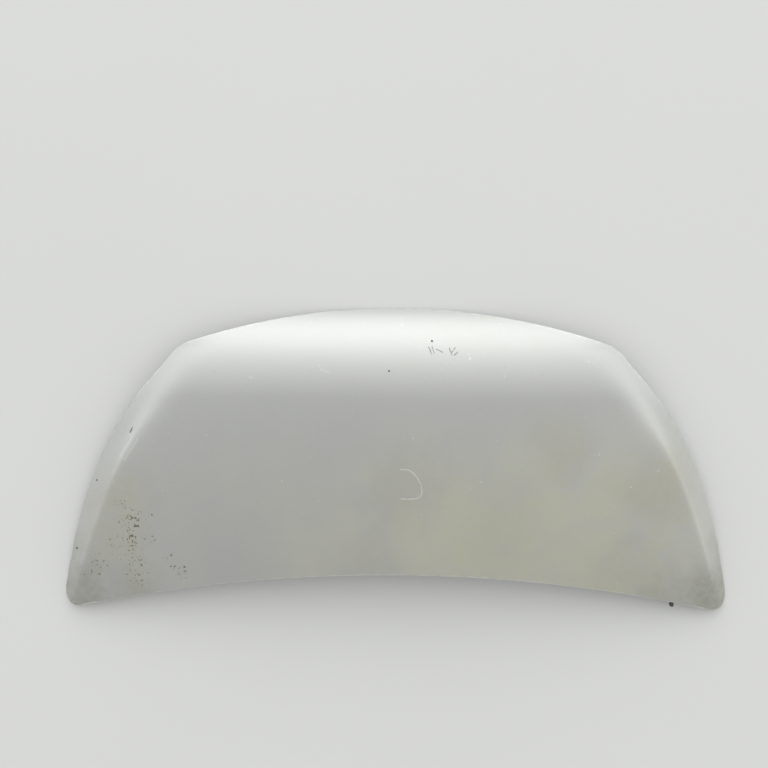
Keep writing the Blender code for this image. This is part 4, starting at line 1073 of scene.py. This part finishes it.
    def fading(self, y: np.ndarray) -> np.ndarray:
        """Share of the flank's slope that is left at y, less towards the nose."""
        start, end = self.crease_fade
        return 1 - (1 - self.crease_faded) * self.smooth(y, self.nose_y - start, self.nose_y - end)

    def tail(self, outside: np.ndarray) -> np.ndarray:
        """How far the soft crease lies over a sharp one."""
        return (np.hypot(outside, self.crease_softness) - outside) / 2

    def flank_drop(self, x: np.ndarray, y: np.ndarray) -> np.ndarray:
        """Fall of the face outside its crease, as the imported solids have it.

        Args:
            x: Plan places across.
            y: Plan places along.

        Returns:
            The fall at each place, softer towards the nose.
        """
        outside = np.abs(x) - self.crease_x(y)
        ramp = np.maximum(outside, 0) + self.tail(np.abs(outside))
        return math.tan(self.flank_slope) * ramp * self.fading(y)

    def rounding(self, x: np.ndarray, y: np.ndarray) -> np.ndarray:
        """Further fall where the crease gets rounder towards the nose.

        Args:
            x: Plan places across.
            y: Plan places along.

        Returns:
            The fall at each place, nothing beyond the reach of the rounding.
        """
        outside = np.abs(x) - self.crease_x(y)
        away, reach = np.abs(outside), self.crease_rounding
        share = np.clip((outside + 2 * reach) / (3 * reach), 0, 1)
        ramp = np.where(outside < reach, reach * share**3, outside)
        more = ramp - np.maximum(outside, 0) + self.tail(np.maximum(away, reach)) - self.tail(away)
        return math.tan(self.flank_slope) * more * self.fading(y) * self.smooth(y, *self.rounding_grows)

    def height(self, x: np.ndarray, y: np.ndarray) -> np.ndarray:
        """Height of the face over the ground.

        Args:
            x: Plan places across.
            y: Plan places along.

        Returns:
            The height at each place.
        """
        free = self.centre_height(y) - self.sideways_fall * x * x
        free -= self.flank_drop(x, y)
        free -= self.rounding(x, y)
        return free - self.settling_fall - self.settling_tilt * y

    def normals(self, x: np.ndarray, y: np.ndarray) -> np.ndarray:
        """Upward normals of the face.

        Args:
            x: Plan places across.
            y: Plan places along.

        Returns:
            A unit vector for each place.
        """
        step = self.normal_step
        across = self.height(x + step, y) - self.height(x - step, y)
        along = self.height(x, y + step) - self.height(x, y - step)
        normal = np.stack((-across, -along, np.full_like(across, 2 * step)), axis=-1)
        return normal / np.linalg.norm(normal, axis=-1, keepdims=True)

    def points(self, plan: np.ndarray, below: float = 0.0) -> np.ndarray:
        """Points of the face, or of a face inside it.

        Args:
            plan: Plan places, last axis x and y.
            below: How far inside the face, square to it.

        Returns:
            The points, y from the rear corners' line.
        """
        x, y = plan[..., 0], plan[..., 1]
        return np.stack((x, y, self.height(x, y)), axis=-1) - self.normals(x, y) * below

    def plan_of(self, places: np.ndarray) -> np.ndarray:
        """Plan places of points in the world."""
        return places[:, :2] + np.array((0.0, self.middle_y))

    def world(self, points: np.ndarray) -> np.ndarray:
        """The points moved so that the middle of the bonnet is over the origin."""
        return points - np.array((0.0, self.middle_y, 0.0))


# Sub-assemblies


def linked(name: str, data: bpy.types.ID) -> bpy.types.Object:
    """Make an object and link it to the scene.

    Args:
        name: Name of the object.
        data: Its mesh, lamp or camera.

    Returns:
        The object.
    """
    made = bpy.data.objects.new(name, data)
    bpy.context.scene.collection.objects.link(made)
    return made


def places_of(mesh: bpy.types.Mesh) -> np.ndarray:
    """Read where a mesh's points are.

    Args:
        mesh: The mesh.

    Returns:
        The places, one a row.
    """
    places = np.empty(len(mesh.vertices) * 3)
    mesh.vertices.foreach_get("co", places)
    return places.reshape(-1, 3)


def move_points(mesh: bpy.types.Mesh, places: np.ndarray) -> None:
    """Move a mesh's points to new places, one a row."""
    mesh.vertices.foreach_set("co", places.ravel())
    mesh.update()


def new_mesh(name: str, points: np.ndarray, faces: Sequence[Sequence[int]]) -> bpy.types.Object:
    """Smooth mesh object.

    Args:
        name: Name of the object.
        points: Its points, one a row.
        faces: Corner numbers of each face.

    Returns:
        The object, linked to the scene.
    """
    mesh = bpy.data.meshes.new(name)
    mesh.from_pydata(points.tolist(), [], faces)
    mesh.update()
    mesh.shade_smooth()
    return linked(name, mesh)


def fit_within(made: bpy.types.Object, node: str) -> None:
    """Shrink a mesh by a hair where it reaches past its node's box.

    Args:
        made: The piece.
        node: The node that it stands for.
    """
    low, high = (np.array(corner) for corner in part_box(node))
    places = places_of(made.data)
    size = places.max(0) - places.min(0)
    factor = np.minimum((high - low) / size, 1)
    places = (places - places.min(0)) * factor
    places += np.clip(low, None, high - places.max(0))
    move_points(made.data, places)


@dataclass
class OuterPanel:
    """Crowned skin with its hem folded under all round."""

    face: BonnetFace
    paint: bpy.types.Material
    thickness: float = 0.0008
    return_length: float = 0.010
    return_steps: tuple[float, ...] = (0.33, 0.67, 1.0)
    fold_steps: int = 8
    fold_reach: float = 0.87
    corner_rows: int = 10
    flat_rows: int = 46
    roll_rows: int = 52
    nose_corner_rows: int = 10
    inner_columns: int = 52
    crease_columns: int = 24
    flank_columns: int = 8
    crease_band: float = 0.028
    band_share: float = 0.7
    narrowest_flank: float = 0.012
    tangent_step: float = 0.0005
    roll_crowding: float = math.radians(52)

    @staticmethod
    def corner(start: np.ndarray, point: np.ndarray, end: np.ndarray, steps: int) -> np.ndarray:
        """Rounded corner in plan.

        Args:
            start: Where the rounding starts.
            point: The sharp corner.
            end: Where the rounding ends.
            steps: Number of steps round it.

        Returns:
            The points from start to end.
        """
        before, after = (way / np.linalg.norm(way) for way in (point - start, end - point))
        weight = math.sqrt((1 + float(before @ after)) / 2)
        share = np.linspace(0, 1, steps + 1)[:, None]
        first, middle, last = (1 - share) ** 2, 2 * weight * share * (1 - share), share**2
        return (start * first + point * middle + end * last) / (first + middle + last)

    def inwards(self, point: np.ndarray, edge: Callable[[float], float]) -> np.ndarray:
        """Unit direction from a right corner along the rear or the nose edge."""
        way = np.array((-self.tangent_step, edge(point[0] - self.tangent_step) - point[1]))
        return way / np.linalg.norm(way)

    def rear_corner(self) -> np.ndarray:
        """Right rear corner of the hem's fold line.

        Returns:
            The points from the rear edge to the side.
        """
        face = self.face
        point = face.side[0]
        back = self.inwards(point, face.rear_edge)
        ahead = face.pull((face.side_rear[0], 1.0))
        leg = face.rear_corner_radius * math.tan(math.acos(float(-back @ ahead)) / 2)
        start_x = point[0] + back[0] * leg
        end_y = point[1] + leg * math.cos(face.side_rear[0])
        start = np.array((start_x, face.rear_edge(start_x)))
        end = np.array((face.side_x(end_y), end_y))
        return self.corner(start, point, end, self.corner_rows)

    def nose_corner(self) -> np.ndarray:
        """Right nose corner of the hem's fold line.

        Returns:
            The points from the side to the nose edge.
        """
        face = self.face
        point = face.side[-1]
        inwards = self.inwards(point, face.nose_edge)
        ahead = face.pull((face.side_nose[0], 1.0))
        leg = face.nose_corner_radius * math.tan(math.acos(float(ahead @ inwards)) / 2)
        start_y = point[1] - leg * math.cos(face.side_nose[0])
        end_x = point[0] + inwards[0] * leg
        start = np.array((face.side_x(start_y), start_y))
        end = np.array((end_x, face.nose_edge(end_x)))
        return self.corner(start, point, end, self.nose_corner_rows)

    def row_ends(self) -> list[tuple[np.ndarray, float]]:
        """Ends of the face's cross rows.

        Returns:
            Right end of each row, and where the row crosses the middle.
        """
        face = self.face
        rear = self.rear_corner()
        nose = self.nose_corner()
        spread = (rear[-1][1] - rear[0][1]) / self.corner_rows
        middles = [face.rear_edge(0) + spread * step for step in range(self.corner_rows + 1)]
        middles += list(np.linspace(middles[-1], face.roll_y, self.flat_rows + 1)[1:])
        for step in range(1, self.roll_rows + 1):
            crowded = math.sin(step / self.roll_rows * self.roll_crowding) / math.sin(self.roll_crowding)
            middles.append(face.roll_y + (face.nose_edge(0) - face.roll_y) * crowded)
        ends = list(rear)
        last = len(middles) - 1 - self.nose_corner_rows
        for row in range(self.corner_rows + 1, last):
            share = (middles[row] - middles[self.corner_rows]) / (middles[last] - middles[self.corner_rows])
            y = rear[-1][1] + (nose[0][1] - rear[-1][1]) * share
            ends.append(np.array((face.side_x(y), y)))
        return list(zip(ends + list(nose), middles))

    def plan(self) -> np.ndarray:
        """Plan places of the face.

        Returns:
            The places, as rows from rear to nose and columns from left to right.
        """
        face = self.face
        rows = []
        for end, middle in self.row_ends():
            bow = middle - end[1]
            guess = float(face.crease_x(end[1]))
            crease = float(face.crease_x(end[1] + bow * (1 - min(guess / end[0], 1) ** 2)))
            crease = min(crease, end[0] - self.narrowest_flank)
            band = min(self.crease_band, self.band_share * (end[0] - crease))
            half = np.concatenate((
                np.linspace(0, crease - self.crease_band, self.inner_columns + 1),
                np.linspace(crease - self.crease_band, crease + band, self.crease_columns + 1)[1:],
                np.linspace(crease + band, end[0], self.flank_columns + 1)[1:],
            ))
            across = np.concatenate((-half[:0:-1], half))
            rows.append(np.column_stack((across, end[1] + bow * (1 - (across / end[0]) ** 2))))
        return np.array(rows)

    @staticmethod
    def rim(grid: np.ndarray) -> np.ndarray:
        """Outline of a grid, counter-clockwise from the left rear."""
        return np.concatenate((grid[0], grid[1:-1, -1], grid[-1][::-1], grid[1:-1, 0][::-1]))

    def hem(self, rim: np.ndarray) -> list[np.ndarray]:
        """Rings round the hem's fold and along its return.

        Args:
            rim: Plan places of the outline.

        Returns:
            The rings' points, each as many as the outline's.
        """
        face = self.face
        tops = face.points(rim)
        normal = face.normals(rim[:, 0], rim[:, 1])
        along = np.roll(tops, -1, axis=0) - np.roll(tops, 1, axis=0)
        outward = np.cross(along, normal)
        outward /= np.linalg.norm(outward, axis=1, keepdims=True)
        centre = tops - normal * face.hem_radius
        rings = []
        for step in range(1, self.fold_steps + 1):
            angle = math.pi * step / self.fold_steps
            spoke = normal * math.cos(angle) + outward * min(math.sin(angle), self.fold_reach)
            rings.append(centre + spoke * face.hem_radius)
        for share in self.return_steps:
            end = tops - outward * (self.return_length * share)
            rings.append(face.points(end[:, :2], 2 * face.hem_radius + face.gap))
        return rings

    def build(self) -> bpy.types.Object:
        """Build and dress the panel.

        Returns:
            The panel.
        """
        grid = self.plan()
        rows, columns = grid.shape[:2]
        numbers = np.arange(rows * columns).reshape(rows, columns)
        points = [self.face.points(grid).reshape(-1, 3)]
        faces = []
        for row in range(rows - 1):
            for column in range(columns - 1):
                low, high = numbers[row], numbers[row + 1]
                faces.append((low[column], low[column + 1], high[column + 1], high[column]))
        last = self.rim(numbers[:, :, None])[:, 0]
        count = rows * columns
        rings = self.hem(self.rim(grid))
        for ring in rings:
            new = np.arange(count, count + len(ring))
            points.append(ring)
            for index in range(len(ring)):
                after = (index + 1) % len(ring)
                faces.append((last[after], last[index], new[index], new[after]))
            last = new
            count += len(ring)
        placed = self.face.world(np.concatenate(points))
        made = new_mesh("outer_skin", placed, [tuple(int(i) for i in face) for face in faces])
        fit_within(made, "outer_panel")
        self.mark_edges(made, self.rim(grid), rows * columns)
        shell = made.modifiers.new("sheet thickness", "SOLIDIFY")
        shell.thickness = self.thickness
        shell.offset = -1
        shell.use_even_offset = True
        made.data.materials.append(self.paint)
        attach(made, BODY)
        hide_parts("outer_panel")
        return made

    def mark_edges(self, made: bpy.types.Object, rim: np.ndarray, skin_points: int) -> None:
        """Store how far each point is from the hem, and which points lie under it.

        Args:
            made: The panel.
            rim: Plan places of the outline.
            skin_points: Number of points on the outer face.
        """
        plan = self.face.plan_of(places_of(made.data))
        distance = np.array([np.hypot(*(rim - point).T).min() for point in plan[:skin_points]])
        edge = np.zeros(len(plan))
        edge[:skin_points] = distance
        # points under the hem's fold, which the paint darkens: partly dirt, partly painted shade
        under = np.zeros(len(plan))
        under[skin_points + len(rim) * (self.fold_steps - 2) :] = 1.0
        for name, values in (("edge", edge), ("under", under)):
            stored = made.data.attributes.new(name, "FLOAT", "POINT")
            stored.data.foreach_set("value", values.astype(np.float32))


@dataclass
class InnerPanel:
    """Ribbed panel under the skin, which follows the skin's rounder crease."""

    face: BonnetFace
    paint: bpy.types.Material
    rim: np.ndarray
    lowest: float = 0.003
    longest_edge: float = 0.006
    least_fall: float = 0.00005
    edge_depth: float = 0.004
    edge_room: float = 0.0008
    split_rounds: int = 4
    edge_samples: int = 9
    same_place: float = 1e-6
    sharpest_curve: float = math.radians(27)

    def drawn_in(self, plan: np.ndarray) -> np.ndarray:
        """Short way inwards along the face for the sheet's edge, to stay clear of the hem's fold.

        Args:
            plan: Plan places of the sheet's points.

        Returns:
            The way for each point, nothing for those away from the edge.
        """
        ahead = np.roll(self.rim, -1, axis=0) - np.roll(self.rim, 1, axis=0)
        ahead /= np.linalg.norm(ahead, axis=1, keepdims=True)
        inward = np.column_stack((-ahead[:, 1], ahead[:, 0]))
        nearest = np.array([np.hypot(*(self.rim - place).T).argmin() for place in plan])
        depth = ((plan - self.rim[nearest]) * inward[nearest]).sum(axis=1)
        way = inward[nearest] * np.where(depth < self.edge_depth, self.edge_room, 0.0)[:, None]
        end = plan + way
        rise = self.face.height(end[:, 0], end[:, 1]) - self.face.height(plan[:, 0], plan[:, 1])
        return np.column_stack((way, rise))

    def refine(self, mesh: bpy.types.Mesh) -> None:
        """Join the points that share a place, and split long edges where the crease gets rounder.

        Args:
            mesh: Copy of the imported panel.
        """
        work = bmesh.new()
        work.from_mesh(mesh)
        bmesh.ops.remove_doubles(work, verts=work.verts, dist=self.same_place)
        for _ in range(self.split_rounds):
            split = [edge for edge in work.edges if self.needs_split(edge)]
            bmesh.ops.subdivide_edges(work, edges=split, cuts=1)
            bmesh.ops.triangulate(work, faces=[face for face in work.faces if len(face.verts) > 3])
        work.to_mesh(mesh)
        work.free()

    def needs_split(self, edge: bmesh.types.BMEdge) -> bool:
        """Tell whether an edge is long and lies where the crease gets rounder.

        Args:
            edge: The edge.

        Returns:
            True where it has to be split.
        """
        if edge.calc_length() < self.longest_edge:
            return False
        share = np.linspace(0, 1, self.edge_samples)[:, None]
        first, second = (np.array(point.co) for point in edge.verts)
        plan = self.face.plan_of(first + (second - first) * share)
        return bool(self.face.rounding(plan[:, 0], plan[:, 1]).max() > self.least_fall)

    def build(self) -> bpy.types.Object:
        """Build and dress the panel.

        Returns:
            The panel.
        """
        mesh = frame["nodes"]["inner_panel"].data.copy()
        mesh.name = "inner_sheet"
        self.refine(mesh)
        places = places_of(mesh)
        plan = self.face.plan_of(places)
        lowered = self.face.rounding(plan[:, 0], plan[:, 1])
        places[:, 2] = np.maximum(places[:, 2] - lowered, np.minimum(places[:, 2], self.lowest))
        places += self.drawn_in(plan)
        move_points(mesh, places)
        mesh.shade_smooth()
        mesh.set_sharp_from_angle(angle=self.sharpest_curve)
        mesh.materials.clear()
        mesh.materials.append(self.paint)
        made = linked("inner_sheet", mesh)
        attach(made, BODY)
        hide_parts("inner_panel")
        return made


@dataclass
class CarriedNodes:
    """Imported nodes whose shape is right, dressed with their finish."""

    finishes: dict[Slot, bpy.types.Material]

    def slot_of(self, node: str) -> Slot:
        """Slot that the record names for a node."""
        listed = frame["record"]["subparts"]
        return Slot(next(part["material_slot"] for part in listed if part["node"] == node))

    def dress(self, node: str) -> None:
        """Give one node its finish.

        Args:
            node: Name of the node.
        """
        mesh = frame["nodes"][node].data
        finish = self.finishes[self.slot_of(node)]
        if not mesh.materials:
            mesh.materials.append(finish)
        for place in frame["nodes"][node].material_slots:
            place.material = finish


# Stage, lamps and camera


@dataclass
class Stage:
    """Plain pale floor."""

    colour: Colour = (0.62, 0.628, 0.61)
    half_size: float = 6.0
    tone_scale: float = 1.3
    darkest: float = 0.97
    roughness: float = 0.9
    specular: float = 0.2

    def build(self) -> bpy.types.Object:
        """Build the floor.

        Returns:
            The floor.
        """
        size = self.half_size
        corners = np.array([(-size, -size, 0), (size, -size, 0), (size, size, 0), (-size, size, 0)])
        floor = new_mesh("studio_floor", corners, [(0, 1, 2, 3)])
        surface = Surface("pale floor")
        graph = surface.graph
        place = graph.place()
        tone = graph.noise(place, self.tone_scale)
        darker = tuple(value * self.darkest for value in self.colour)
        surface.set(
            Base_Color=graph.mix(tone, self.colour, darker),
            Roughness=self.roughness,
            Specular_IOR_Level=self.specular,
        )
        floor.data.materials.append(surface.material)
        return floor


@dataclass(frozen=True)
class SoftLamp:
    """Large soft lamp that points at one place."""

    name: str
    position: Point
    target: Point
    size: tuple[float, float]
    radiance: float

    def build(self) -> bpy.types.Object:
        """Build the lamp.

        Returns:
            The lamp.
        """
        light = bpy.data.lights.new(self.name, "AREA")
        light.shape = "RECTANGLE"
        light.size, light.size_y = self.size
        light.energy = self.radiance * math.pi * self.size[0] * self.size[1]
        lamp = linked(self.name, light)
        lamp.location = self.position
        aim = Vector(self.target) - Vector(self.position)
        lamp.rotation_euler = aim.to_track_quat("-Z", "Y").to_euler()
        lamp.visible_camera = False
        return lamp


@dataclass
class Studio:
    """Soft light all round, brighter beyond the nose and at the sides.

    Each step of the glow gives the axis, where along it the light starts and stops growing, and by how much.
    """

    sky: float = 0.78
    glow_steps: tuple[tuple[int, float, float, float], ...] = (
        (1, -0.12, 0.50, 0.78),
        (1, 0.40, 1.05, 1.7),
        (0, 0.55, 1.0, 0.95),
        (0, -0.55, -1.0, 0.70),
    )
    backdrop: Colour = (0.72, 0.73, 0.71)
    lamps: tuple[SoftLamp, ...] = (
        SoftLamp("nose softbox", (0.0, 4.2, 1.7), (0.0, 0.2, 0.05), (5.0, 2.4), 0.7),
        SoftLamp("left softbox", (-3.6, 1.2, 2.0), (-0.3, 0.1, 0.05), (2.4, 1.6), 0.25),
        SoftLamp("right softbox", (3.6, 1.2, 2.0), (0.3, 0.1, 0.05), (2.4, 1.6), 0.35),
    )

    def build(self) -> None:
        """Build the lamps and the world."""
        for lamp in self.lamps:
            lamp.build()
        world = bpy.data.worlds.new("soft studio")
        bpy.context.scene.world = world
        world.use_nodes = True
        graph = Graph(world.node_tree)
        graph.tree.nodes.clear()
        seen = graph.add("ShaderNodeLightPath").outputs["Is Camera Ray"]
        direction = graph.axes(graph.add("ShaderNodeTexCoord").outputs["Generated"])
        level = self.sky
        for axis, low, high, more in self.glow_steps:
            level = graph.math("ADD", level, graph.stepped(direction[axis], low, high, 0.0, more))
        ambient = graph.add("ShaderNodeBackground")
        graph.feed(ambient.inputs["Strength"], level)
        behind = graph.add("ShaderNodeBackground")
        graph.feed(behind.inputs["Color"], self.backdrop)
        choice = graph.add("ShaderNodeMixShader")
        graph.feed(choice.inputs[0], seen)
        graph.feed(choice.inputs[1], ambient.outputs[0])
        graph.feed(choice.inputs[2], behind.outputs[0])
        end = graph.add("ShaderNodeOutputWorld")
        graph.feed(end.inputs["Surface"], choice.outputs[0])


@dataclass(frozen=True)
class PhotoCamera:
    """Camera that looks down on the bonnet as the photograph does."""

    position: Point = (-0.0278, 0.272, 1.569)
    lean: float = 0.0732
    roll: float = 0.0076
    focal: float = 755.0
    image: float = 768.0
    sensor: float = 36.0

    def build(self) -> bpy.types.Object:
        """Build the camera and make it the scene's.

        Returns:
            The camera.
        """
        upright = math.sqrt(1 - self.lean**2)
        right = Vector((1, 0, 0))
        up = Vector((0, upright, -self.lean))
        back = Vector((0, self.lean, upright))
        turned = right * math.cos(self.roll) + up * math.sin(self.roll)
        raised = up * math.cos(self.roll) - right * math.sin(self.roll)
        lens = bpy.data.cameras.new("photo camera")
        lens.sensor_width = self.sensor
        lens.lens = self.focal / self.image * self.sensor
        lens.clip_start = 0.01
        camera = linked("photo camera", lens)
        turn = Matrix((turned, raised, back)).transposed().to_4x4()
        camera.matrix_world = Matrix.Translation(self.position) @ turn
        bpy.context.scene.camera = camera
        return camera


def main() -> None:
    """Build the bonnet's looks, the stage, the lamps and the camera."""
    logging.basicConfig(level=logging.INFO, format="%(message)s")
    bpy.context.scene.view_settings.view_transform = "Standard"
    PhotoCamera().build()
    coats = finishes()
    face = BonnetFace()
    skin = OuterPanel(face, coats[Slot.PAINT])
    panel = skin.build()
    LOG.info("%s stands for the outer panel", panel.name)
    sheet = InnerPanel(face, coats[Slot.INNER_PAINT], skin.rim(skin.plan())).build()
    LOG.info("%s stands for the inner panel", sheet.name)
    carried = CarriedNodes(coats)
    for node in frame["nodes"]:
        carried.dress(node)
        LOG.info("%s dressed as %s", node, carried.slot_of(node).value)
    Stage().build()
    Studio().build()


if __name__ == "__main__":
    main()
